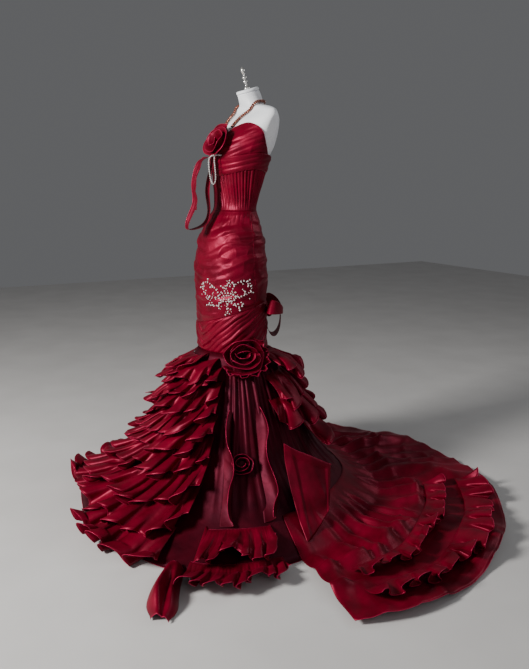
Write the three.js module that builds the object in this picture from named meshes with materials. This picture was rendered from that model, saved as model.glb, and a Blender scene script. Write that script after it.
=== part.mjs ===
// A halter-strap mermaid evening gown on a limbless dress form with a stand.
// Millimetres, +Z up, the wearer faces -Y and the wearer's left is +X. The origin is the middle
// of the stand base's underside, so the whole piece stands on z = 0.
import * as THREE from 'three';

// Driving dimensions
const WALL = 1.6; // thickness of the satin walls with their backing
const SEAM_GAP = 0.4; // between pieces that meet at a seam
const FORM_CLEARANCE = 3.6; // from the form to the inside of the cloth
const SIDE_SEAM = 97.5; // degrees round from the centre front
const COLUMN_STEP = 7.5; // degrees between the columns of the large panels
const FLARE_TOP = 640; // height where the skirt starts to flare
const BODICE_FOOT = 1372; // seam from bodice to midriff
const WAIST_SEAM = 1204; // seam from midriff to hip wrap
const FORM_FOOT = 842; // underside of the dress form
const BASE_RADIUS = 205;
const BASE_THICKNESS = 10;
const POLE_RADIUS = 16;

const COLOURS = {
  satin: 0x8e0a26,
  darkSatin: 0x6a0819,
  form: 0xe9edf2,
  metal: 0xd6d4cf,
  crystal: 0xe4e0dc,
  strap: 0x5a2420,
};

// The body's sections, from the form's foot to the top of the neck.
const BODY_LINE = [
  { z: 620, centreY: -30, halfWidth: 170, halfDepth: 134 },
  { z: 703, centreY: -33, halfWidth: 172, halfDepth: 134 },
  { z: 850, centreY: -34, halfWidth: 179, halfDepth: 134 },
  { z: 975, centreY: -36, halfWidth: 182, halfDepth: 135 },
  { z: 1100, centreY: -30, halfWidth: 158, halfDepth: 117 },
  { z: 1221, centreY: -12, halfWidth: 116, halfDepth: 75 },
  { z: 1320, centreY: 2, halfWidth: 127, halfDepth: 88 },
  { z: 1399, centreY: 14, halfWidth: 144, halfDepth: 102 },
  { z: 1462, centreY: 34, halfWidth: 168, halfDepth: 110 },
  { z: 1546, centreY: 62, halfWidth: 190, halfDepth: 86 },
  { z: 1588, centreY: 72, halfWidth: 181, halfDepth: 52 },
  { z: 1604, centreY: 72, halfWidth: 136, halfDepth: 47 },
  { z: 1614, centreY: 68, halfWidth: 82, halfDepth: 47 },
  { z: 1630, centreY: 62, halfWidth: 56, halfDepth: 50 },
  { z: 1656, centreY: 48, halfWidth: 48, halfDepth: 46 },
];

// The top edge of the bodice, from the centre front round to the centre back.
const NECKLINE = [
  { angle: 0, z: 1498 },
  { angle: 20, z: 1528 },
  { angle: 42, z: 1538 },
  { angle: 75, z: 1506 },
  { angle: 100, z: 1448 },
  { angle: 122, z: 1412 },
  { angle: 150, z: 1398 },
  { angle: 180, z: 1394 },
];

// How far the skirt reaches on the floor, by direction from the centre front.
const SKIRT_REACH = [
  { angle: -180, radius: 600 },
  { angle: -120, radius: 610 },
  { angle: -60, radius: 650 },
  { angle: -28, radius: 690 },
  { angle: 15, radius: 690 },
  { angle: 45, radius: 740 },
  { angle: 75, radius: 720 },
  { angle: 100, radius: 640 },
  { angle: 140, radius: 600 },
  { angle: 180, radius: 600 },
];

// The trumpet's line: how far down and how far out, from the flare seam to the floor.
const FLARE_LINE = [
  { down: 0, out: 0, z: 640 },
  { down: 0.2, out: 0.15, z: 505 },
  { down: 0.4, out: 0.29, z: 362 },
  { down: 0.6, out: 0.43, z: 226 },
  { down: 0.8, out: 0.68, z: 98 },
  { down: 1, out: 1, z: 2.2 },
];
const FLARE_LENGTH = 850; // along the cloth from the flare seam to the hem

// The train's outer edge on the floor, swept round to the wearer's left.
const TRAIN_REACH = [
  { angle: 80, radius: 1080 },
  { angle: 92, radius: 1130 },
  { angle: 118, radius: 1130 },
  { angle: 145, radius: 1100 },
  { angle: 180, radius: 1000 },
  { angle: 220, radius: 830 },
  { angle: 255, radius: 690 },
];
const TRAIN = { from: 82.5, to: 255, start: 0.8, seam: 0.2, seat: 2.5, rise: 24 };

/** A table with named columns: each row becomes an object. */
function table(columns, rows) {
  return rows.map((row) => Object.fromEntries(columns.map((column, place) => [column, row[place]])));
}

// Ruffles: where each is sewn on (degrees round, mm below the flare seam at each end), how deep it
// falls, how far it stands off, and its waves. `seat` is from the skirt's middle to the middle of
// its sewn edge, and `rows` are its rows of facets.
const RUFFLE_COLUMNS = [
  'name', 'seat', 'from', 'to', 'topFrom', 'topTo', 'drop', 'lift', 'swing', 'waves', 'phase', 'rows',
];
const RUFFLES = table(RUFFLE_COLUMNS, [
  ['ruffle_front_1', 2.1, -66, 20, 40, 8, 106, 50, 24, 5, 0.2, 2],
  ['ruffle_front_2', 2.1, -74, 40, 118, 24, 114, 56, 25, 6, 0.5, 2],
  ['ruffle_front_3', 2.1, -78, 48, 202, 62, 122, 58, 26, 6, 0.8, 2],
  ['ruffle_front_4', 2.3, -80, 50, 288, 122, 130, 58, 27, 6, 0, 2],
  ['ruffle_front_5', 2.5, -82, 50, 376, 188, 138, 56, 28, 6, 0.4, 2],
  ['ruffle_front_6', 2.8, -84, 50, 464, 262, 146, 54, 30, 5, 0.7, 2],
  ['ruffle_front_7', 3.0, -85, 49, 556, 344, 158, 50, 32, 5, 0.1, 2],
  ['ruffle_front_8', 3.6, -86, 48, 650, 436, 172, 46, 34, 5, 0.6, 2],
  ['ruffle_front_9', 3.7, -86, 46, 742, 552, 190, 36, 36, 5, 0.9, 2],
  ['ruffle_front_10', 2.7, 2, 41, 704, 716, 186, 20, 22, 3, 0.4, 2],
  ['ruffle_left_1', 1.9, 113, 158, 6, 12, 116, 66, 30, 3, 0.25, 2],
  ['ruffle_left_2', 2.1, 100, 160, 120, 92, 132, 62, 32, 3, 0.5, 2],
  ['ruffle_left_3', 2.3, 96, 160, 214, 186, 136, 56, 32, 3, 0.75, 2],
  ['ruffle_left_4', 2.1, 124, 162, 318, 296, 150, 66, 30, 2, 0.25, 2],
  ['ruffle_right_1', 2.1, 168, 284, 12, 30, 130, 56, 26, 4, 0, 1],
  ['ruffle_right_2', 2.4, 168, 278, 128, 140, 140, 62, 28, 4, 0.75, 1],
  ['ruffle_right_3', 2.6, 168, 276, 250, 262, 150, 60, 30, 4, 0.25, 1],
  ['ruffle_right_4', 2.9, 200, 274, 380, 392, 170, 52, 30, 3, 0.5, 1],
  ['ruffle_floor_1', 2.3, 52, 76, 690, 700, 120, 34, 36, 3, 0.5, 2],
  ['ruffle_floor_2', 2.7, 50, 77, 812, 820, 150, 14, 46, 4, 0.25, 2],
]);

function degrees(value) {
  return value * Math.PI / 180;
}

function mix(a, b, share) {
  return a + (b - a) * share;
}

function smooth(share) {
  return share * share * (3 - 2 * share);
}

/** Reads a table of rows sorted by `key`, with a smooth line through its values. */
function read(rows, key, at, value) {
  const last = rows.length - 1;
  const place = Math.min(Math.max(at, rows[0][key]), rows[last][key]);
  let row = 0;
  while (row < last - 1 && rows[row + 1][key] < place) row += 1;
  const span = rows[row + 1][key] - rows[row][key];
  const share = (place - rows[row][key]) / span;
  const slopeAt = (index) => {
    const low = rows[Math.max(index - 1, 0)];
    const high = rows[Math.min(index + 1, last)];
    return (high[value] - low[value]) / (high[key] - low[key]);
  };
  const share2 = share * share;
  const share3 = share2 * share;
  return rows[row][value] * (2 * share3 - 3 * share2 + 1)
    + slopeAt(row) * span * (share3 - 2 * share2 + share)
    + rows[row + 1][value] * (3 * share2 - 2 * share3)
    + slopeAt(row + 1) * span * (share3 - share2);
}

// Two bust cups shape the front of the bodice and of the form under it.
const CUPS = { angle: 33, spread: 24, z: 1442, height: 52, depth: 15 };

function cupDepth(angle, z) {
  const level = Math.exp(-(((z - CUPS.z) / CUPS.height) ** 2));
  const left = Math.exp(-(((angle - CUPS.angle) / CUPS.spread) ** 2));
  const right = Math.exp(-(((angle + CUPS.angle) / CUPS.spread) ** 2));
  return CUPS.depth * level * (left + right);
}

/** A point of the body's line: angle round from the centre front, height, distance outward. */
function bodyPoint(angle, z, offset = 0) {
  const wrapped = ((angle + 180) % 360 + 360) % 360 - 180;
  const turn = degrees(wrapped);
  const reach = offset + cupDepth(wrapped, z);
  return new THREE.Vector3(
    (read(BODY_LINE, 'z', z, 'halfWidth') + reach) * Math.sin(turn),
    read(BODY_LINE, 'z', z, 'centreY') - (read(BODY_LINE, 'z', z, 'halfDepth') + reach) * Math.cos(turn),
    z,
  );
}

function byDirection(rows, angle, value) {
  const first = rows[0].angle;
  const wrapped = first + ((angle - first) % 360 + 360) % 360;
  return read(rows, 'angle', wrapped, value);
}

/** A corner of the skirt's panels: `down` runs from 0 at the flare seam to 1 at the hem. */
function skirtCorner(angle, down) {
  const top = bodyPoint(angle, FLARE_TOP);
  const turn = degrees(angle);
  const godets = 11 * Math.sin(degrees(angle * 8)) * down * down;
  const radius = byDirection(SKIRT_REACH, angle, 'radius') + godets;
  const hem = new THREE.Vector3(radius * Math.sin(turn), -radius * Math.cos(turn), 0);
  const out = read(FLARE_LINE, 'down', down, 'out');
  const point = top.clone().lerp(hem, out);
  point.z = read(FLARE_LINE, 'down', down, 'z');
  return point;
}

const SKIRT_ROWS = FLARE_LINE.map((row) => row.down);

/** The skirt's flat facets, so that what lies on them is made from their own corners. */
function skirtPoint(angle, down) {
  const column = Math.floor(angle / COLUMN_STEP + 1e-6);
  const across = angle / COLUMN_STEP - column;
  const level = Math.min(Math.max(down, 0), 1);
  let row = 0;
  while (row < SKIRT_ROWS.length - 2 && SKIRT_ROWS[row + 1] < level) row += 1;
  const along = (level - SKIRT_ROWS[row]) / (SKIRT_ROWS[row + 1] - SKIRT_ROWS[row]);
  const left = column * COLUMN_STEP;
  const right = left + COLUMN_STEP;
  const upper = skirtCorner(left, SKIRT_ROWS[row]).lerp(skirtCorner(right, SKIRT_ROWS[row]), across);
  const lower = skirtCorner(left, SKIRT_ROWS[row + 1]).lerp(skirtCorner(right, SKIRT_ROWS[row + 1]), across);
  return upper.lerp(lower, along);
}

/** The whole garment's outer line: `level` is mm below the flare seam, and above it when negative. */
function garmentPoint(angle, level) {
  if (level < 0) return bodyPoint(angle, FLARE_TOP - level);
  if (level <= FLARE_LENGTH) return skirtPoint(angle, level / FLARE_LENGTH);
  const turn = degrees(angle);
  const away = new THREE.Vector3(Math.sin(turn), -Math.cos(turn), 0);
  return skirtPoint(angle, 1).addScaledVector(away, level - FLARE_LENGTH);
}

/** The direction out of the garment at a place. */
function garmentNormal(angle, level) {
  const turn = degrees(angle);
  const below = garmentPoint(angle, level + 14);
  const above = garmentPoint(angle, level - 14);
  const down = below.sub(above).normalize();
  const round = new THREE.Vector3(Math.cos(turn), Math.sin(turn), 0);
  return down.cross(round).normalize();
}

/** A place on the garment, moved out along its normal. */
function onGarment(angle, level, out) {
  return garmentPoint(angle, level).addScaledVector(garmentNormal(angle, level), out);
}

/** A place given in mm across and down from a spot on the garment, as a trimming is sewn on. */
function onGarmentNear(spot, across, down, out) {
  const middle = garmentPoint(spot.angle, spot.level);
  const radius = Math.hypot(middle.x, middle.y - (spot.centreY ?? 0));
  return onGarment(spot.angle + across / radius * 180 / Math.PI, spot.level + down, out);
}

/**
 * A closed cloth wall. `middle(u, v)` gives the middle of the cloth, with u across and v down,
 * both 0 to 1. The wall's faces lie half its thickness to each side, and rims close its edges.
 */
function clothWall(columns, rows, middle, thickness = WALL, { ring = false } = {}) {
  const step = 1e-3;
  const across = ring ? columns : columns + 1;
  const outer = [];
  const inner = [];
  for (let row = 0; row <= rows; row += 1) {
    for (let column = 0; column < across; column += 1) {
      const u = column / columns;
      const v = row / rows;
      const uLow = ring ? u - step : Math.max(u - step, 0);
      const uHigh = ring ? u + step : Math.min(u + step, 1);
      const vLow = Math.max(v - step, 0);
      const vHigh = Math.min(v + step, 1);
      const alongU = middle(uHigh, v).sub(middle(uLow, v));
      const alongV = middle(u, vHigh).sub(middle(u, vLow));
      const normal = alongV.cross(alongU).normalize();
      const centre = middle(u, v);
      outer.push(centre.clone().addScaledVector(normal, thickness / 2));
      inner.push(centre.addScaledVector(normal, -thickness / 2));
    }
  }
  const points = [...outer, ...inner];
  const faces = [];
  const at = (row, column, side) => side * outer.length + row * across + (column % across);
  const quad = (a, b, c, d) => faces.push(a, b, c, a, c, d);
  for (let row = 0; row < rows; row += 1) {
    for (let column = 0; column < columns; column += 1) {
      quad(at(row, column, 0), at(row + 1, column, 0), at(row + 1, column + 1, 0), at(row, column + 1, 0));
      quad(at(row, column, 1), at(row, column + 1, 1), at(row + 1, column + 1, 1), at(row + 1, column, 1));
    }
  }
  for (let column = 0; column < columns; column += 1) {
    quad(at(0, column, 0), at(0, column + 1, 0), at(0, column + 1, 1), at(0, column, 1));
    quad(at(rows, column, 0), at(rows, column, 1), at(rows, column + 1, 1), at(rows, column + 1, 0));
  }
  for (let row = 0; row < rows && !ring; row += 1) {
    quad(at(row, 0, 0), at(row, 0, 1), at(row + 1, 0, 1), at(row + 1, 0, 0));
    quad(at(row, columns, 0), at(row + 1, columns, 0), at(row + 1, columns, 1), at(row, columns, 1));
  }
  return solid(points, faces);
}

/** A geometry from points and faces, turned so that its faces point out. */
function solid(points, faces) {
  let volume = 0;
  for (let index = 0; index < faces.length; index += 3) {
    const [a, b, c] = [points[faces[index]], points[faces[index + 1]], points[faces[index + 2]]];
    volume += a.dot(b.clone().cross(c)) / 6;
  }
  const facing = volume < 0 ? [...faces].reverse() : faces;
  const geometry = new THREE.BufferGeometry();
  const places = points.flatMap((point) => [point.x, point.y, point.z]);
  geometry.setAttribute('position', new THREE.Float32BufferAttribute(places, 3));
  geometry.setIndex(facing);
  geometry.computeVertexNormals();
  return geometry;
}

const gown = new THREE.Group();

function add(name, geometry, colour, roughness = 0.42, metalness = 0) {
  const material = new THREE.MeshStandardMaterial({ color: colour, roughness, metalness });
  const mesh = new THREE.Mesh(geometry, material);
  mesh.name = name;
  gown.add(mesh);
  return mesh;
}

// The dress form and its stand
const FORM_OFFSET = -(FORM_CLEARANCE + WALL / 2);
const ARM_FACET = { lowZ: 1400, lowReach: 150, rise: 0.19, turn: 14 };

/** The form's surface, with a flat facet at each side where an arm would be fitted. */
function formPoint(angle, z, offset = 0) {
  const point = bodyPoint(angle, z, FORM_OFFSET + offset);
  if (z < ARM_FACET.lowZ || z > BODY_LINE[BODY_LINE.length - 3].z) return point;
  const centreY = read(BODY_LINE, 'z', z, 'centreY');
  const lean = degrees(ARM_FACET.turn);
  const reach = ARM_FACET.lowReach + (z - ARM_FACET.lowZ) * ARM_FACET.rise + offset;
  const along = Math.abs(point.x) * Math.cos(lean) + (point.y - centreY) * Math.sin(lean);
  if (along <= reach) return point;
  const share = reach / along;
  return new THREE.Vector3(point.x * share, centreY + (point.y - centreY) * share, z);
}

/** A closed solid through level rings, with a flat end at each side. */
function lofted(levels, sides, ringPoint) {
  const points = levels.flatMap((level) => (
    Array.from({ length: sides }, (_, side) => ringPoint(side / sides * 360, level))
  ));
  const faces = [];
  for (let row = 0; row < levels.length - 1; row += 1) {
    for (let side = 0; side < sides; side += 1) {
      const next = (side + 1) % sides;
      const low = row * sides;
      const high = low + sides;
      faces.push(low + side, low + next, high + next, low + side, high + next, high + side);
    }
  }
  const centreOf = (row) => {
    const ring = points.slice(row * sides, row * sides + sides);
    return ring.reduce((sum, point) => sum.add(point), new THREE.Vector3()).multiplyScalar(1 / sides);
  };
  const bottom = points.push(centreOf(0)) - 1;
  const top = points.push(centreOf(levels.length - 1)) - 1;
  const topRing = (levels.length - 1) * sides;
  for (let side = 0; side < sides; side += 1) {
    const next = (side + 1) % sides;
    faces.push(bottom, next, side, top, topRing + side, topRing + next);
  }
  return solid(points, faces);
}

const NECK_TOP = 1652;
const FORM_LEVELS = [
  FORM_FOOT, 900, 975, 1050, 1120, 1170, 1221, 1280, 1340, 1399, 1440, 1480, 1520, 1556, 1582,
  1596, 1605, 1613, 1625, NECK_TOP,
];
const NECK_LEAN = degrees(16);

const CAP_RADIUS = 46;
const CAP_FOOT = NECK_TOP + SEAM_GAP + CAP_RADIUS * Math.sin(NECK_LEAN);

/** A ring point of the form: the neck is cut on the slant, so that the leaning cap sits flat on it. */
function formRingPoint(angle, z) {
  const point = formPoint(angle, z);
  if (z === NECK_TOP) {
    const fromMiddle = point.y - read(BODY_LINE, 'z', NECK_TOP, 'centreY');
    point.z = CAP_FOOT - SEAM_GAP + fromMiddle * Math.tan(NECK_LEAN);
  }
  return point;
}

function buildForm() {
  add('form_torso', lofted(FORM_LEVELS, 30, formRingPoint), COLOURS.form, 0.5);
  const cap = new THREE.LatheGeometry([
    new THREE.Vector2(0, 0),
    new THREE.Vector2(44, 0),
    new THREE.Vector2(CAP_RADIUS, 3),
    new THREE.Vector2(45, 10),
    new THREE.Vector2(38, 13),
    new THREE.Vector2(0, 13),
  ], 24);
  const finial = new THREE.LatheGeometry([
    new THREE.Vector2(0, 0),
    new THREE.Vector2(11, 0),
    new THREE.Vector2(12, 7),
    new THREE.Vector2(6, 12),
    new THREE.Vector2(5, 24),
    new THREE.Vector2(9, 29),
    new THREE.Vector2(4.5, 36),
    new THREE.Vector2(9.5, 44),
    new THREE.Vector2(4.5, 52),
    new THREE.Vector2(4.5, 60),
    new THREE.Vector2(8, 66),
    new THREE.Vector2(8.5, 73),
    new THREE.Vector2(4, 83),
    new THREE.Vector2(0, 86),
  ], 12);
  const neckY = read(BODY_LINE, 'z', NECK_TOP, 'centreY');
  const capMesh = add('form_neck_cap', cap.rotateX(Math.PI / 2), COLOURS.form, 0.5);
  capMesh.position.set(0, neckY, CAP_FOOT);
  capMesh.rotation.x = NECK_LEAN;
  const rise = 13 + SEAM_GAP;
  const finialMesh = add('form_finial', finial.rotateX(Math.PI / 2), COLOURS.metal, 0.3, 0.3);
  finialMesh.position.copy(capMesh.position);
  finialMesh.position.y -= rise * Math.sin(NECK_LEAN);
  finialMesh.position.z += rise * Math.cos(NECK_LEAN);
  finialMesh.rotation.x = NECK_LEAN;
  const poleLength = FORM_FOOT - BASE_THICKNESS - 2 * SEAM_GAP;
  const pole = new THREE.CylinderGeometry(POLE_RADIUS, POLE_RADIUS, poleLength, 16).rotateX(Math.PI / 2);
  add('stand_pole', pole, COLOURS.metal, 0.35, 0.6)
    .position.set(0, 0, BASE_THICKNESS + SEAM_GAP + poleLength / 2);
  const base = new THREE.CylinderGeometry(BASE_RADIUS - 4, BASE_RADIUS, BASE_THICKNESS, 36);
  add('stand_base', base.rotateX(Math.PI / 2), COLOURS.metal, 0.35, 0.6)
    .position.set(0, 0, BASE_THICKNESS / 2);
}

// The bodice, band and wraps
function neckline(angle) {
  return byDirection(NECKLINE_ROUND, angle, 'z');
}

const NECKLINE_ROUND = [
  ...NECKLINE.slice(1).reverse().map((row) => ({ angle: -row.angle, z: row.z })),
  ...NECKLINE,
];

/** A panel of the body between two edges, with folds that stand out from the body's line. */
function bodyPanel({ from, to, columns, rows, top, foot, fold = () => 0, lean = () => 0, offset = 0 }) {
  return clothWall(columns, rows, (u, v) => {
    const angle = mix(from, to, u) + lean(u, v);
    const z = mix(top(angle), foot(angle), v) + SEAM_GAP / 2 * (2 * v - 1);
    const round = new THREE.Vector3(Math.cos(degrees(angle)), Math.sin(degrees(angle)), 0);
    return bodyPoint(angle, z, offset + fold(u, v))
      .addScaledVector(round, SEAM_GAP / 2 * (1 - 2 * u));
  });
}

/** Folds that lie across a panel, each of its own depth. */
function acrossFolds(count, depth, seed) {
  return (u, v) => {
    const number = Math.floor(v * count);
    const uneven = 0.62 + 0.38 * Math.sin(number * 2.4 + seed + 5 * u);
    return depth * uneven * Math.sin(Math.PI * v * count) ** 2;
  };
}

function level(z) {
  return () => z;
}

/** The slanting seam where the thigh wrap starts: a level cut tipped up towards the left and back. */
function thighSeam(angle) {
  const seam = { middle: 806, towardsLeft: 0.16, towardsBack: 0.3 };
  let z = seam.middle;
  for (let turn = 0; turn < 5; turn += 1) {
    const point = bodyPoint(angle, z);
    z = seam.middle + seam.towardsLeft * point.x + seam.towardsBack * point.y;
  }
  return z;
}

// The underbust band's edges at the centre front, and how much they rise at the sides.
const BAND = { topZ: 1402, topRise: 22, footZ: 1338, footRise: 24 };

function bandTop(angle) {
  return BAND.topZ + BAND.topRise * Math.sin(degrees(angle)) ** 2;
}

function bandFoot(angle) {
  return BAND.footZ + BAND.footRise * Math.sin(degrees(angle)) ** 2;
}

const FRONT = { from: -SIDE_SEAM, to: SIDE_SEAM };
const BACK = { from: SIDE_SEAM, to: 360 - SIDE_SEAM };
const FRONT_COLUMNS = 2 * SIDE_SEAM / COLUMN_STEP;
const BACK_COLUMNS = (360 - 2 * SIDE_SEAM) / COLUMN_STEP;
const PLEATS = { count: 22, depth: 3.2, lean: 9 };
const BAND_OFFSET = WALL + SEAM_GAP + 4.2;

function buildBodice() {
  const satin = COLOURS.satin;
  const foot = level(BODICE_FOOT);
  add('bodice_front', bodyPanel({
    ...FRONT, columns: FRONT_COLUMNS, rows: 4, top: neckline, foot, fold: acrossFolds(2, 4, 1),
  }), satin);
  add('bodice_back', bodyPanel({ ...BACK, columns: BACK_COLUMNS, rows: 1, top: neckline, foot }), satin);
  const band = { rows: 2, top: bandTop, foot: bandFoot, fold: acrossFolds(1, 5, 2), offset: BAND_OFFSET };
  add('underbust_band_front', bodyPanel({ ...FRONT, ...band, columns: FRONT_COLUMNS }), satin);
  add('underbust_band_back', bodyPanel({ ...BACK, ...band, columns: BACK_COLUMNS, rows: 1 }), satin);
  const pleat = (u, v) => {
    const open = smooth(Math.min(v / 0.15, (1 - v) / 0.12, 1));
    return PLEATS.depth * open * Math.sin(Math.PI * u * PLEATS.count) ** 2;
  };
  const lean = (u, v) => PLEATS.lean * v * Math.sin(Math.PI * (2 * u - 1));
  const midriff = { top: level(BODICE_FOOT), foot: level(WAIST_SEAM + SEAM_GAP) };
  add('midriff_front', bodyPanel({
    ...FRONT, ...midriff, columns: 2 * PLEATS.count, rows: 3, fold: pleat, lean,
  }), satin);
  add('midriff_back', bodyPanel({ ...BACK, ...midriff, columns: BACK_COLUMNS, rows: 2 }), satin);
}

function buildWraps() {
  const hip = { top: level(WAIST_SEAM), foot: thighSeam };
  const thigh = { top: thighSeam, foot: level(FLARE_TOP) };
  add('hip_wrap_front', bodyPanel({
    ...FRONT, ...hip, columns: 13, rows: 18, fold: acrossFolds(9, 7, 0.4),
  }), COLOURS.satin);
  add('hip_wrap_back', bodyPanel({
    ...BACK, ...hip, columns: 11, rows: 10, fold: acrossFolds(5, 6, 1.3),
  }), COLOURS.satin);
  add('thigh_wrap_front', bodyPanel({
    ...FRONT, ...thigh, columns: 13, rows: 10, fold: acrossFolds(5, 5, 2.1),
  }), COLOURS.satin);
  add('thigh_wrap_back', bodyPanel({
    ...BACK, ...thigh, columns: 11, rows: 8, fold: acrossFolds(4, 5, 0.9),
  }), COLOURS.satin);
}

// The trumpet skirt and the train
function skirtPanel({ from, to }, columns) {
  return clothWall(columns, SKIRT_ROWS.length - 1, (u, v) => {
    const angle = mix(from, to, u);
    const round = new THREE.Vector3(Math.cos(degrees(angle)), Math.sin(degrees(angle)), 0);
    const point = skirtPoint(angle, v).addScaledVector(round, SEAM_GAP / 2 * (1 - 2 * u));
    point.z -= 2 * SEAM_GAP * (1 - v);
    return point;
  });
}

/** The train: sewn over the lower skirt, then lying on the floor in soft ripples. */
function trainPoint(angle, share) {
  if (share <= TRAIN.seam) {
    const down = mix(TRAIN.start, 1, share / TRAIN.seam);
    return onGarment(angle, down * FLARE_LENGTH, TRAIN.seat);
  }
  const out = (share - TRAIN.seam) / (1 - TRAIN.seam);
  const inner = onGarment(angle, FLARE_LENGTH, TRAIN.seat);
  const turn = degrees(angle);
  const radius = mix(Math.hypot(inner.x, inner.y), byDirection(TRAIN_REACH, angle, 'radius'), out);
  const ripple = 0.5 + 0.5 * Math.sin(degrees(angle * 12 + 60 * out));
  const z = inner.z + TRAIN.rise * ripple * Math.sin(Math.PI * Math.min(out * 1.2, 1) / 2) ** 2;
  return new THREE.Vector3(radius * Math.sin(turn), -radius * Math.cos(turn), z);
}

function buildSkirt() {
  add('skirt_front', skirtPanel(FRONT, FRONT_COLUMNS), COLOURS.darkSatin);
  add('skirt_back', skirtPanel(BACK, BACK_COLUMNS), COLOURS.darkSatin);
  const train = (u, v) => trainPoint(mix(TRAIN.from, TRAIN.to, u), v);
  add('train', clothWall((TRAIN.to - TRAIN.from) / COLUMN_STEP, 5, train), COLOURS.satin);
}

// Ruffles, cascades and rosettes
function ruffle({ rows, seat, from, to, topFrom, topTo, drop, lift, swing, waves, phase }) {
  return clothWall(waves * 5, rows, (u, v) => {
    const wave = Math.sin(2 * Math.PI * (waves * u + phase));
    const uneven = 1 + 0.22 * Math.sin(2 * Math.PI * (1.7 * u + 2 * phase));
    const fall = drop * (1 + 0.1 * Math.sin(2 * Math.PI * (2.3 * u + phase)));
    const sway = 0.5 * v * Math.sin(4 * Math.PI * (waves * u + phase));
    const out = seat + lift * v ** 0.85 + swing * v * uneven * (0.5 + 0.5 * wave);
    return onGarment(mix(from, to, u) + sway, mix(topFrom, topTo, u ** 1.6) + v * fall, out);
  });
}

const CASCADE_SEAT = 1.8;

/** A strip sewn down the skirt along one edge, standing out in waves. */
function cascade({ angle, from, to, lean, width, waves, sway, phase }) {
  return clothWall(waves * 5, 2, (u, v) => {
    const swing = sway * v * Math.sin(2 * Math.PI * (waves * u + phase));
    const place = angle + lean * u + swing + 5 * v;
    return onGarment(place, mix(from, to, u), CASCADE_SEAT + width * v * (0.75 + 0.25 * u));
  });
}

/** A strip wound into a flower on the garment, its free edge leaning outward. */
function rosette({ spot, turns, inner, outer, height, lean, seat, columns }) {
  return clothWall(columns, 1, (u, v) => {
    const turn = 2 * Math.PI * turns * u;
    const petals = 0.05 * Math.sin(turn * 2.5);
    const radius = mix(inner, outer, u) * (1 + petals * v) + lean * v;
    const tall = height * (1.1 - 0.35 * u);
    return onGarmentNear(spot, radius * Math.cos(turn), radius * Math.sin(turn), seat + tall * v);
  });
}

const CASCADES = table(['name', 'angle', 'from', 'to', 'lean', 'width', 'waves', 'sway', 'phase'], [
  ['cascade_front', 54, 250, 690, 3, 74, 3, 4, 0.1],
  ['cascade_back', 79, 240, 690, -5, 74, 3, 4, 0.6],
]);
const CASCADE_ROSETTE = { angle: 66.5, level: 470 };
const HIP_ROSETTE = { angle: 75, level: 12, centreY: -33 };
// The gathered strip that runs round the hip rosette, from its right side to under it.
const HIP_STRIP = { from: -0.9, to: 2.3, radius: 97, flare: 6, swing: 7, pace: 16, seat: 6.6, height: 40 };
const BUST_ROSETTE = { angle: 6, level: FLARE_TOP - 1464, centreY: 34 };

function buildRuffles() {
  RUFFLES.forEach((row) => add(row.name, ruffle(row), COLOURS.satin));
  CASCADES.forEach((row) => add(row.name, cascade(row), COLOURS.satin));
  add('hip_rosette', rosette({
    spot: HIP_ROSETTE, turns: 3.4, inner: 10, outer: 78, height: 40, lean: 9, seat: 5.9, columns: 44,
  }), COLOURS.satin);
  const strip = (u, v) => {
    const turn = mix(HIP_STRIP.from, HIP_STRIP.to, u);
    const wave = HIP_STRIP.swing * Math.sin(HIP_STRIP.pace * turn);
    const radius = HIP_STRIP.radius + v * (HIP_STRIP.flare + wave);
    const out = HIP_STRIP.seat + HIP_STRIP.height * v;
    return onGarmentNear(HIP_ROSETTE, radius * Math.cos(turn), radius * Math.sin(turn), out);
  };
  add('hip_ruffle_strip', clothWall(30, 1, strip), COLOURS.satin);
  add('cascade_rosette', rosette({
    spot: CASCADE_ROSETTE, turns: 2.4, inner: 7, outer: 36, height: 34, lean: 5, seat: 1.9, columns: 26,
  }), COLOURS.darkSatin);
  add('bust_rosette', rosette({
    spot: BUST_ROSETTE, turns: 2.8, inner: 7, outer: 42, height: 38, lean: 7, seat: 3.6, columns: 34,
  }), COLOURS.satin);
}

// Ribbons, straps, bow and sash
function curveThrough(rows) {
  return new THREE.CatmullRomCurve3(rows.map((row) => new THREE.Vector3(row.x, row.y, row.z)));
}

/** A round cord or strand along a curve. */
function strand(curve, radius, sides, steps) {
  const section = new THREE.Shape();
  for (let side = 0; side < sides; side += 1) {
    const turn = side / sides * 2 * Math.PI;
    const place = [radius * Math.cos(turn), radius * Math.sin(turn)];
    if (side === 0) section.moveTo(...place);
    else section.lineTo(...place);
  }
  section.closePath();
  return new THREE.ExtrudeGeometry(section, { steps, extrudePath: curve, bevelEnabled: false });
}

const HALTER = [
  { angle: 11.5, z: 1522 },
  { angle: 13, z: 1538 },
  { angle: 16, z: 1560 },
  { angle: 22, z: 1586 },
  { angle: 40, z: 1607 },
  { angle: 80, z: 1619 },
  { angle: 125, z: 1624 },
  { angle: 180, z: 1626 },
];
const HALTER_RADIUS = 5.6;

function formNormal(angle, z) {
  const turn = degrees(angle);
  const down = formPoint(angle, z - 3).sub(formPoint(angle, z + 3)).normalize();
  return down.cross(new THREE.Vector3(Math.cos(turn), Math.sin(turn), 0)).normalize();
}

function buildHalter() {
  const side = (sign) => HALTER.map(({ angle, z }) => (
    formPoint(sign * angle, z).addScaledVector(formNormal(sign * angle, z), HALTER_RADIUS + 2.2)
  ));
  const right = side(-1).slice(0, -1);
  const left = side(1).reverse();
  const path = new THREE.CatmullRomCurve3([...right, ...left]);
  add('halter_strap', strand(path, HALTER_RADIUS, 6, 36), COLOURS.strap, 0.35, 0.2);
}

/** A ribbon along a path, with its width across the path. */
function ribbon(rows, width, across, columns) {
  const path = curveThrough(rows);
  return clothWall(columns, 1, (u, v) => (
    path.getPoint(u).addScaledVector(across, width * (v - 0.5) * (0.7 + 0.3 * Math.sin(Math.PI * u)))
  ));
}

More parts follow.
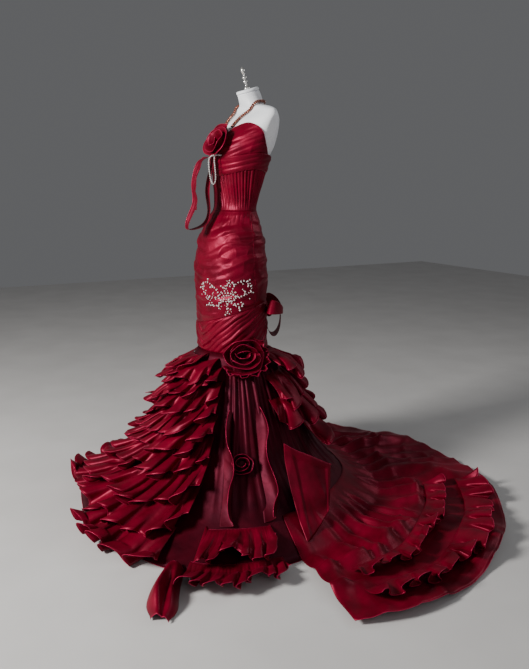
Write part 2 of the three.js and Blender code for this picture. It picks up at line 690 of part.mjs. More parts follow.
const BUST_RIBBONS = [
  { name: 'bust_ribbon_loop', width: 40, columns: 16, path: [
    { x: 18, y: -92.6, z: 1413 },
    { x: 18, y: -138, z: 1410 },
    { x: 20, y: -176, z: 1386 },
    { x: 14, y: -198, z: 1310 },
    { x: 18, y: -192, z: 1240 },
    { x: 16, y: -226, z: 1158 },
    { x: 18, y: -218, z: 1132 },
    { x: 22, y: -160, z: 1150 },
    { x: 22, y: -136, z: 1200 },
    { x: 20, y: -140, z: 1290 },
    { x: 20, y: -118, z: 1398 },
  ] },
  { name: 'bust_ribbon_tail', width: 34, columns: 9, path: [
    { x: -34, y: -92.4, z: 1413 },
    { x: -35, y: -132, z: 1408 },
    { x: -38, y: -160, z: 1350 },
    { x: -36, y: -176, z: 1270 },
    { x: -40, y: -168, z: 1206 },
  ] },
];

const CRYSTAL_STRAND = [
  { x: 49, y: -91.8, z: 1419 },
  { x: 50, y: -134, z: 1415 },
  { x: 52, y: -148, z: 1392 },
  { x: 53, y: -142, z: 1330 },
  { x: 53, y: -130, z: 1308 },
  { x: 53, y: -120, z: 1330 },
  { x: 52, y: -124, z: 1396 },
  { x: 50, y: -122, z: 1420 },
];

/** A bow loop: out along the cloth from the knot, round, and back above itself. */
function bowLoop(spot, { turn, reach, girth, width, seat }) {
  const along = [Math.cos(degrees(turn)), Math.sin(degrees(turn))];
  return clothWall(12, 2, (u, v) => {
    const far = 14 + reach * Math.sin(Math.PI * u) ** 0.8;
    const side = width * (v - 0.5) * (0.35 + 0.65 * Math.sin(Math.PI * u));
    const cup = 10 * (v - 0.5) ** 2 * Math.sin(Math.PI * u);
    const out = seat + girth * smooth(u) + cup;
    return onGarmentNear(spot, far * along[0] - side * along[1], far * along[1] + side * along[0], out);
  });
}

const BOW = { angle: 152, level: -150, centreY: -33 };
const BOW_KNOT_OUT = 15.4;
const BOW_LOOPS = table(['name', 'turn', 'reach', 'girth', 'width', 'seat'], [
  ['bow_loop_upper_left', 205, 74, 66, 58, 5.1],
  ['bow_loop_upper_right', -25, 74, 66, 58, 4.5],
  ['bow_loop_lower', 90, 84, 60, 62, 2.9],
]);

// The stiff folded end of the sash over the left of the skirt, by its corners.
const SASH = {
  upperFront: { angle: 90, level: 412, out: 88 },
  upperBack: { angle: 113, level: 600, out: 108 },
  lowerFront: { angle: 87, level: 806, out: 4.8 },
  lowerBack: { angle: 102, level: 742, out: 42 },
};

// The arched fold of the hem that runs out over the floor at the left of the front.
const HEM_FOLD = {
  start: { angle: 46.5, level: 846, width: 66, height: 30 },
  end: { angle: 50, level: 1126, width: 112, height: 74 },
  seat: 3.3,
  across: new THREE.Vector3(0.68, 0.73, 0),
};

function buildTrimmings() {
  const sideways = new THREE.Vector3(1, 0, 0);
  BUST_RIBBONS.forEach((row) => (
    add(row.name, ribbon(row.path, row.width, sideways, row.columns), COLOURS.satin)
  ));
  add('crystal_strand', strand(curveThrough(CRYSTAL_STRAND), 2.5, 6, 16), COLOURS.crystal, 0.15, 0.4);
  BOW_LOOPS.forEach((row) => add(row.name, bowLoop(BOW, row), COLOURS.satin));
  const knot = new THREE.SphereGeometry(1, 12, 8).scale(15, 15, 22);
  const seat = onGarmentNear(BOW, 0, 0, BOW_KNOT_OUT);
  add('bow_knot', knot, COLOURS.satin).position.copy(seat);
  add('sash_end', clothWall(4, 5, (u, v) => {
    const top = mixPlace(SASH.upperFront, SASH.upperBack, u);
    const foot = mixPlace(SASH.lowerFront, SASH.lowerBack, u);
    const place = mixPlace(top, foot, v);
    return onGarment(place.angle, place.level, place.out + 9 * Math.sin(Math.PI * v) * Math.sin(Math.PI * u));
  }), COLOURS.satin);
  add('hem_fold', clothWall(4, 5, (u, v) => {
    const { start, end } = HEM_FOLD;
    const middle = onGarment(mix(start.angle, end.angle, v), mix(start.level, end.level, v), HEM_FOLD.seat);
    const across = (u - 0.5) * mix(start.width, end.width, v);
    middle.z += mix(start.height, end.height, v) * Math.sin(Math.PI * u);
    return middle.addScaledVector(HEM_FOLD.across, across);
  }), COLOURS.satin);
}

function mixPlace(a, b, share) {
  return {
    angle: mix(a.angle, b.angle, share),
    level: mix(a.level, b.level, share),
    out: mix(a.out, b.out, share),
  };
}

// Ruffles laid along the train
const TRAIN_RUFFLES = table(['name', 'from', 'to', 'share', 'waves', 'reach', 'rise', 'seat', 'phase'], [
  ['train_ruffle_1', 90, 149, 0.52, 5, 0.14, 34, 4.5, 0],
  ['train_ruffle_2', 88, 150, 0.76, 6, 0.18, 40, 5.8, 0.5],
]);

function buildTrainRuffles() {
  TRAIN_RUFFLES.forEach(({ name, from, to, share, waves, reach, rise, seat, phase }) => {
    add(name, clothWall(waves * 4, 1, (u, v) => {
      const wave = 0.5 + 0.5 * Math.sin(2 * Math.PI * (waves * u + phase));
      const point = trainPoint(mix(from, to, u), share + reach * v * (0.8 + 0.2 * wave));
      point.z += seat + rise * v * (0.35 + 0.65 * wave);
      return point;
    }), COLOURS.satin);
  });
}

buildForm();
buildBodice();
buildWraps();
buildSkirt();
buildRuffles();
buildHalter();
buildTrimmings();
buildTrainRuffles();

export default gown;
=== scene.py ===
import math

import bpy
import numpy as np
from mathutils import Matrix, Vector


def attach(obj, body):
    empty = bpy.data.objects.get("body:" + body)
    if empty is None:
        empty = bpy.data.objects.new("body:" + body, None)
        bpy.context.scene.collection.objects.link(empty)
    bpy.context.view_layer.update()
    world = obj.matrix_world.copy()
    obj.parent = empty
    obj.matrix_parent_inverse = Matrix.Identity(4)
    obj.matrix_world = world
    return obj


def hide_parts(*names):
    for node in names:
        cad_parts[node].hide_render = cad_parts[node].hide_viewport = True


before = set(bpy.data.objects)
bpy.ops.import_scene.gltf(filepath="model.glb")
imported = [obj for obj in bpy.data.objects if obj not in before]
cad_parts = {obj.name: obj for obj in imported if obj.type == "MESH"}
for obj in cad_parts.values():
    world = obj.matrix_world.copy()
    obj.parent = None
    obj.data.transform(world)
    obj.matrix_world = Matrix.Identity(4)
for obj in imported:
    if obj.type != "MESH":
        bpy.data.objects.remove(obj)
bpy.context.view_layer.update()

# Sizes are in millimetres, as in the solids, and become metres where a mesh is made.
MM = 0.001
FLARE_TOP = 640.0  # the seam between the thigh wrap and the flared skirt
FLARE_LENGTH = 850.0  # down the skirt, from that seam to its hem
BODICE_FOOT = 1372.0
BAND_TOP, BAND_FOOT = 1402.0, 1338.0  # of the underbust band, at the middle front
WAIST_SEAM = 1204.0
THIGH_SEAM = 806.0  # at the body's axis, with its rise for each mm to the left and to the back
THIGH_SLANT_LEFT, THIGH_SLANT_BACK = 0.16, 0.30
SIDE_SEAM = 97.5  # degrees round from the front
CUP_LEVEL, CUP_HEIGHT, CUP_ANGLE, CUP_WIDTH, CUP_DEPTH = 1442, 52, 33, 24, 15
SHELL = 1.1  # thickness of a cloth shell
ROLLED_HEM = 1.15  # radius of a rolled edge
# least share of its flat rectangle that a sheet is declared with
LEAST_AREA = 0.31  # least share of its flat rectangle that a sheet's worked-out area is held to
FORM_CLEARANCE = 4.4  # from the garment's line in to the form
FORM_FOOT, NECK_FOOT, NECK_TOP = 842, 1615, 1652
NECK_LEAN = math.radians(16)
CAP_RADIUS, CAP_RISE = 46, 13
# The flat facet at each shoulder
ARM_FOOT, ARM_TOP, ARM_REACH, ARM_LEAN = 1400, 1614, 150, math.radians(14)
SEAM_GAP = 0.4


def columns(names, rows):
    """A table read down its named columns."""
    values = np.array(rows, float)
    return {name: values[:, place] for place, name in enumerate(names.split())}


BODY = columns("z centre_y half_width half_depth", [
    (620, -30, 170, 134),
    (703, -33, 172, 134),
    (850, -34, 179, 134),
    (975, -36, 182, 135),
    (1100, -30, 158, 117),
    (1221, -12, 116, 75),
    (1320, 2, 127, 88),
    (1399, 14, 144, 102),
    (1462, 34, 168, 110),
    (1546, 62, 190, 86),
    (1588, 72, 181, 52),
    (1604, 72, 136, 47),
    (1614, 68, 82, 47),
    (1630, 62, 56, 50),
    (1656, 48, 48, 46),
])
NECKLINE = columns("angle z", [
    (-180, 1394), (-150, 1398), (-122, 1412), (-100, 1448), (-75, 1506), (-42, 1538), (-20, 1528),
    (0, 1498), (20, 1528), (42, 1538), (75, 1506), (100, 1448), (122, 1412), (150, 1398), (180, 1394),
])
SKIRT_REACH = columns("angle radius", [
    (-180, 600), (-120, 610), (-60, 650), (-28, 690), (15, 690), (45, 740), (75, 720), (100, 640),
    (140, 600), (180, 600),
])
FLARE = columns("down out z", [
    (0, 0, 640), (0.2, 0.15, 505), (0.4, 0.29, 362), (0.6, 0.43, 226), (0.8, 0.68, 98), (1, 1, 2.2),
])
TRAIN_REACH = columns("angle radius", [
    (80, 1080), (92, 1130), (118, 1130), (145, 1100), (180, 1000), (220, 830), (255, 690),
])


def read(table, key, at, value):
    """A smooth line through a table's values."""
    xs, ys = table[key], table[value]
    at = np.clip(np.asarray(at, float), xs[0], xs[-1])
    row = np.clip(np.searchsorted(xs, at, side="right") - 1, 0, len(xs) - 2)
    ends = np.arange(len(xs))
    low, high = np.maximum(ends - 1, 0), np.minimum(ends + 1, len(xs) - 1)
    slope = (ys[high] - ys[low]) / (xs[high] - xs[low])
    span = xs[row + 1] - xs[row]
    t = (at - xs[row]) / span
    return (
        ys[row] * (2 * t**3 - 3 * t**2 + 1)
        + slope[row] * span * (t**3 - 2 * t**2 + t)
        + ys[row + 1] * (3 * t**2 - 2 * t**3)
        + slope[row + 1] * span * (t**3 - t**2)
    )


def smooth_path(rows, fine):
    """A smooth path of `fine` points through a few places."""
    rows = np.array(rows, float)
    at, place = np.arange(len(rows)), np.linspace(0, len(rows) - 1, fine)
    return np.stack([read({"at": at, "part": part}, "at", place, "part") for part in rows.T], axis=-1)


def around(angle):
    """An angle brought to -180 to 180 degrees."""
    return (np.asarray(angle, float) + 180) % 360 - 180


def mix(a, b, share):
    return a + (b - a) * share


def smooth(share):
    share = np.clip(share, 0, 1)
    return share * share * (3 - 2 * share)


def cup_depth(angle, z):
    """The bust cups: how far they stand out of the body's line."""
    level = np.exp(-(((z - CUP_LEVEL) / CUP_HEIGHT) ** 2))
    left = np.exp(-(((angle - CUP_ANGLE) / CUP_WIDTH) ** 2))
    right = np.exp(-(((angle + CUP_ANGLE) / CUP_WIDTH) ** 2))
    return CUP_DEPTH * level * (left + right)


def body_point(angle, z, offset=0.0):
    angle = around(angle)
    turn = np.radians(angle)
    reach = offset + cup_depth(angle, z)
    x = (read(BODY, "z", z, "half_width") + reach) * np.sin(turn)
    y = read(BODY, "z", z, "centre_y") - (read(BODY, "z", z, "half_depth") + reach) * np.cos(turn)
    return np.stack(np.broadcast_arrays(x, y, z), axis=-1)


def skirt_point(angle, down):
    """The skirt's line, with `down` from 0 at the flare seam to 1 at the hem."""
    angle = around(angle)
    turn = np.radians(angle)
    top = body_point(angle, FLARE_TOP + 0 * down)
    radius = read(SKIRT_REACH, "angle", angle, "radius") + 11 * np.sin(np.radians(angle * 8)) * down**2
    out = read(FLARE, "down", down, "out")
    x = mix(top[..., 0], radius * np.sin(turn), out)
    y = mix(top[..., 1], -radius * np.cos(turn), out)
    return np.stack(np.broadcast_arrays(x, y, read(FLARE, "down", down, "z")), axis=-1)


def garment_point(angle, level):
    """The garment's line: `level` is mm below the flare seam, less than 0 above it."""
    angle, level = np.broadcast_arrays(np.asarray(angle, float), np.asarray(level, float))
    above = body_point(angle, FLARE_TOP - np.minimum(level, 0))
    below = skirt_point(angle, np.clip(level / FLARE_LENGTH, 0, 1))
    past = np.maximum(level - FLARE_LENGTH, 0)
    turn = np.radians(angle)
    floor = np.stack([past * np.sin(turn), -past * np.cos(turn), 0 * past], axis=-1)
    return np.where((level < 0)[..., None], above, below + floor)


def unit(vectors):
    return vectors / np.maximum(np.linalg.norm(vectors, axis=-1, keepdims=True), 1e-9)


def garment_normal(angle, level):
    """The direction straight out of the garment's line."""
    down = unit(garment_point(angle, level + 14) - garment_point(angle, level - 14))
    turn = np.radians(np.broadcast_to(angle, down.shape[:-1]))
    round_it = np.stack([np.cos(turn), np.sin(turn), 0 * turn], axis=-1)
    return unit(np.cross(down, round_it))


def on_garment(angle, level, out):
    """A point `out` mm off the garment's line."""
    out = np.asarray(out, float)
    angle, level, out = np.broadcast_arrays(angle, level, out)
    return garment_point(angle, level) + garment_normal(angle, level) * out[..., None]


def near_spot(spot, across, down, out):
    """A place in mm across and down from a spot, as a trimming is sewn on."""
    angle, level, centre_y = spot
    middle = garment_point(angle, level)
    radius = math.hypot(middle[0], middle[1] - centre_y)
    return on_garment(angle + np.degrees(across / radius), level + down, out)


def ripples(x, y, seed):
    """A smooth uneven field, mostly from -1 to 1, the same each time."""
    rng = np.random.default_rng(int(seed * 1000))
    waves, total = 7, 0
    for _ in range(waves):
        heading, pace, start = rng.uniform(0, math.pi), rng.uniform(0.6, 1.9), rng.uniform(0, 6.28)
        total = total + np.sin(pace * (x * math.cos(heading) + y * math.sin(heading)) + start)
    return total / math.sqrt(waves * 2)


def creases(x, y, seed):
    """Crisp folds as in taffeta: sharp ridges with flat places between, 0 to about 1."""
    return np.maximum(1 - np.abs(ripples(x, y, seed)) * 1.1, -0.2) ** 3


def uneven(place, seed, low, high):
    """A smooth line through a random value at each whole step of `place`."""
    count = 64
    picks = np.random.default_rng(int(seed * 1000) + 7).uniform(low, high, count)
    step = np.floor(place).astype(int)
    return mix(picks[step % count], picks[(step + 1) % count], smooth(place - step))


def grid(rows, cols):
    """u across and v down, both 0 to 1."""
    u, v = np.meshgrid(np.linspace(0, 1, cols + 1), np.linspace(0, 1, rows + 1))
    return u, v


# Materials
def set_sockets(node, values):
    for name, value in values.items():
        node.inputs[name].default_value = value


def node_material(name):
    material = bpy.data.materials.new(name)
    material.use_nodes = True
    nodes, links = material.node_tree.nodes, material.node_tree.links
    return material, nodes, links, nodes["Principled BSDF"]


def noise(nodes, links, source, scale, detail=3.0, stretch=None):
    texture = nodes.new("ShaderNodeTexNoise")
    set_sockets(texture, {"Scale": scale, "Detail": detail})
    if stretch:
        mapping = nodes.new("ShaderNodeMapping")
        set_sockets(mapping, {"Scale": stretch})
        links.new(source, mapping.inputs["Vector"])
        source = mapping.outputs["Vector"]
    links.new(source, texture.inputs["Vector"])
    return texture.outputs["Fac"]


def ramp(nodes, links, fac, stops):
    node = nodes.new("ShaderNodeValToRGB")
    for place, (at, colour) in enumerate(stops):
        if place > 1:
            node.color_ramp.elements.new(at)
        node.color_ramp.elements[place].position = at
        node.color_ramp.elements[place].color = (*colour, 1)
    links.new(fac, node.inputs["Fac"])
    return node.outputs["Color"]


def bump(nodes, links, height, strength, distance, before=None):
    node = nodes.new("ShaderNodeBump")
    set_sockets(node, {"Strength": strength, "Distance": distance})
    links.new(height, node.inputs["Height"])
    if before is not None:
        links.new(before, node.inputs["Normal"])
    return node.outputs["Normal"]


def satin(name, deep, lit, roughness, sheen=0.1):
    """Crisp satin: a cloudy dye, sharp crumples, slubs and a fine weave."""
    material, nodes, links, shader = node_material(name)
    place = nodes.new("ShaderNodeTexCoord").outputs["Object"]
    cloudy = noise(nodes, links, place, 11, 5)
    links.new(ramp(nodes, links, cloudy, [(0.32, deep), (0.7, lit)]), shader.inputs["Base Color"])
    crumple = nodes.new("ShaderNodeTexNoise")
    crumple.noise_type = "RIDGED_MULTIFRACTAL"
    set_sockets(crumple, {"Scale": 15, "Detail": 2.5})
    links.new(place, crumple.inputs["Vector"])
    soft = noise(nodes, links, place, 42, 2)
    slubs = noise(nodes, links, place, 240, 2, (1, 1, 0.1))
    weave = noise(nodes, links, place, 1500, 1)
    normal = bump(nodes, links, crumple.outputs["Fac"], 0.34, 0.0035)
    normal = bump(nodes, links, soft, 0.25, 0.003, normal)
    normal = bump(nodes, links, slubs, 0.2, 0.0006, normal)
    normal = bump(nodes, links, weave, 0.15, 0.0003, normal)
    links.new(normal, shader.inputs["Normal"])
    worn = nodes.new("ShaderNodeMapRange")
    set_sockets(worn, {"To Min": roughness - 0.06, "To Max": roughness + 0.1})
    links.new(soft, worn.inputs["Value"])
    links.new(worn.outputs["Result"], shader.inputs["Roughness"])
    set_sockets(shader, {
        "Metallic": 0.22, "IOR": 1.48, "Specular Tint": (1, 0.22, 0.40, 1), "Anisotropic": 0.4,
        "Sheen Weight": sheen, "Sheen Roughness": 0.3, "Sheen Tint": (0.9, 0.05, 0.16, 1),
    })
    return material


def form_finish():
    material, nodes, links, shader = node_material("form_white")
    place = nodes.new("ShaderNodeTexCoord").outputs["Object"]
    mottle = noise(nodes, links, place, 14, 3)
    tints = [(0.3, (0.80, 0.82, 0.86)), (0.7, (0.88, 0.89, 0.91))]
    links.new(ramp(nodes, links, mottle, tints), shader.inputs["Base Color"])
    links.new(bump(nodes, links, noise(nodes, links, place, 700, 2), 0.1, 0.0003), shader.inputs["Normal"])
    set_sockets(shader, {"Roughness": 0.48})
    return material


def metal(name, colour, roughness):
    material, nodes, links, shader = node_material(name)
    place = nodes.new("ShaderNodeTexCoord").outputs["Object"]
    streaks = noise(nodes, links, place, 90, 3, (1, 1, 0.1))
    darker = tuple(0.82 * part for part in colour)
    links.new(ramp(nodes, links, streaks, [(0.35, darker), (0.7, colour)]), shader.inputs["Base Color"])
    links.new(bump(nodes, links, streaks, 0.06, 0.0004), shader.inputs["Normal"])
    set_sockets(shader, {"Metallic": 0.9, "Roughness": roughness})
    return material


def jewel(name, low, high, metallic, roughness):
    """Foil-backed stones or glossy beads, each with its own tint."""
    material, nodes, links, shader = node_material(name)
    place = nodes.new("ShaderNodeTexCoord").outputs["Object"]
    tint = noise(nodes, links, place, 240, 1)
    links.new(ramp(nodes, links, tint, [(0.38, low), (0.62, high)]), shader.inputs["Base Color"])
    links.new(bump(nodes, links, noise(nodes, links, place, 900, 1), 0.08, 0.0003), shader.inputs["Normal"])
    set_sockets(shader, {"Metallic": metallic, "Roughness": roughness, "Coat Weight": 0.6})
    return material


SATIN = satin("satin_red", (0.085, 0.0005, 0.006), (0.19, 0.0015, 0.016), 0.4)
# The rolled hems: the same satin painted brighter and pinker, a painted highlight along each edge.
PAINTED_HIGHLIGHT_HEM = satin("satin_hem_painted_highlight", (0.30, 0.006, 0.04), (0.46, 0.02, 0.08), 0.3)
# Near-black satin for the skirt panels and the cascade rosette: painted shade, where the ruffles leave them
# in shadow.
PAINTED_SHADE_SATIN = satin("satin_painted_shade", (0.02, 0.0002, 0.0018), (0.055, 0.0004, 0.0045), 0.5, 0.03)
# Dark satin for the two cascades: painted shade for the recess between the tiers.
SHADED_SATIN = satin("satin_cascade_painted_shade", (0.032, 0.0002, 0.0025), (0.078, 0.0006, 0.0064), 0.5)
FORM = form_finish()
STEEL = metal("stand_steel", (0.62, 0.62, 0.62), 0.32)
SILVER = metal("finial_silver", (0.86, 0.85, 0.82), 0.18)
CRYSTAL = jewel("crystal_foil", (0.78, 0.75, 0.70), (0.97, 0.97, 0.98), 0.3, 0.1)
COPPER_BEAD = jewel("strap_bead", (0.10, 0.012, 0.012), (0.42, 0.16, 0.10), 0.5, 0.2)


# Meshes
def make_mesh(name, points, faces, material, replaces=(), smooth_shaded=True):
    mesh = bpy.data.meshes.new(name)
    mesh.from_pydata((np.asarray(points).reshape(-1, 3) * MM).tolist(), [], faces)
    mesh.validate()
    if smooth_shaded:
        mesh.shade_smooth()
    mesh.materials.append(material)
    piece = bpy.data.objects.new(name, mesh)
    bpy.context.scene.collection.objects.link(piece)
    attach(piece, "root")
    if replaces:
        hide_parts(*replaces)
    return piece


def grid_faces(rows, cols, ring=False):
    """The four-cornered faces of a grid of points, which a ring closes on itself."""
    index = np.arange(rows * cols).reshape(rows, cols)
    if ring:
        index = np.concatenate([index, index[:, :1]], axis=1)
    corners = [index[:-1, :-1], index[1:, :-1], index[1:, 1:], index[:-1, 1:]]
    return np.stack(corners, axis=-1).reshape(-1, 4).tolist()


def path_lengths(points):
    """The length of each line that runs down a grid of points."""
    return np.linalg.norm(np.diff(points, axis=0), axis=-1).sum(axis=0)


def cloth(name, points, replaces, material=None, hem=None):
    """A thin cloth shell on a grid of points, with the flat size of its cut worked out but not used."""
    rows, cols = points.shape[:2]
    piece = make_mesh(name, points, grid_faces(rows, cols), material or SATIN, replaces)
    shell = piece.modifiers.new("shell", "SOLIDIFY")
    shell.thickness = SHELL * MM
    shell.offset = 0
    along = points.transpose(1, 0, 2)
    width = float(path_lengths(along).max()) * MM
    length = float(path_lengths(points).max()) * MM
    step_u = np.diff(points, axis=1)[:-1]
    step_v = np.diff(points, axis=0)[:, :-1]
    area = float(np.linalg.norm(np.cross(step_u, step_v), axis=-1).sum()) * MM**2
    area = min(max(area, LEAST_AREA * width * length), width * length)
    extra = [rolled_hem(name + "_hem", hem)] if hem is not None else []


def tube(path, radius, sides=4):
    """Rings of points along a path."""
    path = np.asarray(path, float)
    forward = unit(np.gradient(path, axis=0))
    side = unit(np.cross(forward, np.array([0.13, 0.21, 0.97])))
    up = np.cross(side, forward)
    turn = np.linspace(0, math.tau, sides, endpoint=False)
    ring = side[:, None] * np.cos(turn)[None, :, None] + up[:, None] * np.sin(turn)[None, :, None]
    radius = np.broadcast_to(radius, (len(path),))
    return path[:, None] + ring * radius[:, None, None]


def tube_faces(points):
    """The faces along a tube, and one over each of its ends."""
    rings, sides = points.shape[:2]
    last = (rings - 1) * sides
    ends = [list(range(sides))[::-1], [last + side for side in range(sides)]]
    return grid_faces(rings, sides, ring=True) + ends


def rolled_hem(name, path):
    """The rolled edge along a ruffle, in a brighter satin that paints the highlight it catches."""
    points = tube(path, ROLLED_HEM)
    return make_mesh(name, points, tube_faces(points), PAINTED_HIGHLIGHT_HEM)


def ridges(s, seed, sharp=0.85):
    """Rounded ridges with narrow valleys between them, each ridge of its own height."""
    number = np.floor(s)
    height = 0.66 + 0.34 * np.sin(number * 2.39 + seed)
    return height * np.sin(math.pi * (s - number)) ** sharp


def neckline(angle):
    """The height of the bodice's top edge."""
    return read(NECKLINE, "angle", around(angle), "z")


def thigh_seam(angle):
    """The height of the slanting seam."""
    z = THIGH_SEAM + 0 * angle
    for _ in range(5):
        point = body_point(angle, z)
        z = THIGH_SEAM + THIGH_SLANT_LEFT * point[..., 0] + THIGH_SLANT_BACK * point[..., 1]
    return z


def body_panel(name, reach, top, foot, size, relief, offset=0.0,
               top_hem=False):
    """A panel of the bodice or wraps, its folds standing out from the body's line."""
    u, v = grid(*size)
    angle = mix(*reach, u)
    z = mix(top(angle), foot(angle), v)
    points = body_point(angle, z, offset + relief(angle, z, v))
    cloth(name, points, [name], hem=points[0] if top_hem else None)


# The dress form and its stand
def form_point(angle, z):
    """The form, with a flat facet at each side where an arm would be fitted."""
    point = body_point(angle, z, -FORM_CLEARANCE)
    x, y = point[..., 0], point[..., 1]
    z = np.broadcast_to(z, x.shape)
    centre_y = read(BODY, "z", z, "centre_y")
    reach = ARM_REACH + (z - ARM_FOOT) * 0.19
    along = np.abs(x) * math.cos(ARM_LEAN) + (y - centre_y) * math.sin(ARM_LEAN)
    cut = (z > ARM_FOOT) & (z < ARM_TOP) & (along > reach)
    share = np.where(cut, reach / np.maximum(along, 1), 1)
    return np.stack([x * share, centre_y + (y - centre_y) * share, z], axis=-1)


def closed_loft(name, rings, material, replaces):
    """A closed skin through rings of points, from the lowest ring up."""
    rows, sides = rings.shape[:2]
    points = np.concatenate([rings.reshape(-1, 3), rings[0].mean(0)[None], rings[-1].mean(0)[None]])
    faces = [face[::-1] for face in grid_faces(rows, sides, ring=True)]
    last = (rows - 1) * sides
    for side in range(sides):
        after = (side + 1) % sides
        faces.append([rows * sides, after, side])
        faces.append([rows * sides + 1, last + side, last + after])
    make_mesh(name, points, faces, material, replaces)


def turned(name, profile, foot, lean, material, slot, replaces, sides=48):
    """A turned piece from its radius and height pairs, set at a place and leaning forward."""
    radius, height = np.array(profile, float).T
    turn = np.linspace(0, math.tau, sides, endpoint=False)
    radius = np.maximum(radius, 0.05)[:, None]
    x, y = radius * np.cos(turn), radius * np.sin(turn)
    z = np.repeat(height[:, None], sides, axis=1)
    ring = np.stack([
        x + foot[0],
        y * math.cos(lean) - z * math.sin(lean) + foot[1],
        y * math.sin(lean) + z * math.cos(lean) + foot[2],
    ], axis=-1)
    closed_loft(name, ring, material, replaces)


def rounded(profile, steps):
    """A turned profile with a smooth line through its pairs."""
    line = smooth_path(profile, (len(profile) - 1) * steps + 1)
    line[:, 0] = np.maximum(line[:, 0], 0)
    return line


def build_form():
    """The torso with its slanting neck, the cap and finial on it, and the stand below."""
    levels = np.concatenate([
        np.linspace(FORM_FOOT, 846, 3), np.linspace(860, 1370, 30), np.linspace(1382, 1620, 76),
        np.linspace(1624, NECK_TOP, 9),
    ])
    angle, z = np.meshgrid(np.linspace(0, 360, 108, endpoint=False), levels)
    rings = form_point(angle, z)
    neck_y = float(read(BODY, "z", NECK_TOP, "centre_y"))
    lean = NECK_LEAN
    cap_z = NECK_TOP + SEAM_GAP + CAP_RADIUS * math.sin(lean)
    slant = cap_z - SEAM_GAP + (rings[..., 1] - neck_y) * math.tan(lean) - NECK_TOP
    rings[..., 2] += slant * smooth((z - NECK_FOOT) / (NECK_TOP - NECK_FOOT))
    closed_loft("form", rings, FORM, ["form_torso"])
    cap = [(0, 0), (40, 0), (43.5, 0.4), (45.6, 1.8), (CAP_RADIUS, 4), (45.8, 8), (44.8, 10.6),
           (42.2, 12.2), (38, 12.9), (20, CAP_RISE), (0, CAP_RISE)]
    turned("neck_cap", cap, (0, neck_y, cap_z), lean, FORM, "form_white", ["form_neck_cap"], 72)
    finial = rounded([
        (0, 0), (10.4, 0), (11.8, 2.2), (12, 5), (10.4, 8.4), (6.6, 11.4), (5, 15), (4.6, 20), (5.6, 24),
        (8.4, 26.6), (9.2, 29.4), (8, 32.4), (5, 35.4), (5.2, 38.4), (8.6, 41), (9.6, 44), (8.8, 47.4),
        (5.2, 51), (4.4, 55), (4.8, 60), (7, 64), (8.4, 69), (8.3, 74), (6, 79.6), (3, 84), (0, 86),
    ], 3)
    rise = CAP_RISE + SEAM_GAP
    top = (0, neck_y - rise * math.sin(lean), cap_z + rise * math.cos(lean))
    turned("finial", finial, top, lean, SILVER, "finial_metal", ["form_finial"])
    pole = [(0, 10.4), (24, 10.4), (24.5, 13), (23, 17), (18, 20), (16, 24), (16, 814), (18, 817),
            (20, 822), (20, 831), (0, 831.6)]
    turned("pole", pole, (0, 0, 0), 0, STEEL, "stand_metal", ["stand_pole"])
    base = [(0, 0), (202, 0), (204.4, 0.7), (205, 2.2), (205, 6), (203.6, 8.4), (201, 9.7), (196, 10),
            (60, 10), (0, 10)]
    turned("stand_foot", base, (0, 0, 0), 0, STEEL, "stand_metal", ["stand_base"], 96)


# The bodice, band and wraps
FRONT = (-SIDE_SEAM, SIDE_SEAM)
BACK = (SIDE_SEAM, 360 - SIDE_SEAM)


def fade(v, top=0.08, foot=0.08):
    """Folds die away into the seams above and below."""
    return smooth(np.minimum(v / top, (1 - v) / foot))


def bodice_relief(angle, z, v):
    """Tucks across the bust, 25 mm apart, that dip towards the sides."""
    side = around(angle)
    s = (z - BODICE_FOOT) / 25 - 0.024 * np.abs(side) + 0.55 * ripples(side / 30, z / 60, 3)
    tucks = 4.6 * ridges(s, 1.0, 0.6) * fade(v, 0.14, 0.1) * (0.6 + 0.4 * np.cos(np.radians(side * 0.8)))
    crisp = 2.4 * creases(side / 17 + z / 60, z / 34 - side / 40, 5)
    return 1.0 + tucks + crisp * fade(v) + 0.7 * ripples(side / 7, z / 18, 6) * fade(v)


def plain_relief(angle, z, v):
    """The bodice's back, with only slight creases."""
    return 0.8 + 0.9 * creases(around(angle) / 14, z / 26, 31) * fade(v)


def band_relief(angle, z, v):
    """Folds along the underbust band, 19 mm apart."""
    side = around(angle)
    s = (z - BAND_FOOT) / 19 - 0.020 * np.abs(side) + 0.45 * ripples(side / 26, z / 40, 8)
    return 4.2 * ridges(s, 0.3, 0.6) * fade(v, 0.1, 0.1) + 0.7 * ripples(side / 8, z / 16, 9) * fade(v)


def pleat_relief(angle, z, v):
    """Curved upright pleats that lean towards the waist and die away in the hip."""
    side = around(angle)
    sweep = (28 - 0.2 * np.abs(side)) * v**1.3 * smooth(np.abs(side) / 12)
    place = side - np.sign(side) * sweep + 3 * ripples(side / 40, v, 13)
    s = place / 8.4 + 0.28 * ripples(side / 15, v * 2.0, 12)
    number = np.floor(s)
    deep = 0.55 + 0.45 * np.sin(number * 2.1) ** 2
    pleats = 6.4 * deep * np.sin(math.pi * (s - number)) ** 0.8
    return pleats * fade(v, 0.08, 0.3) + 1.2 * creases(side / 12, z / 30, 14) * smooth(v * 3 - 2)


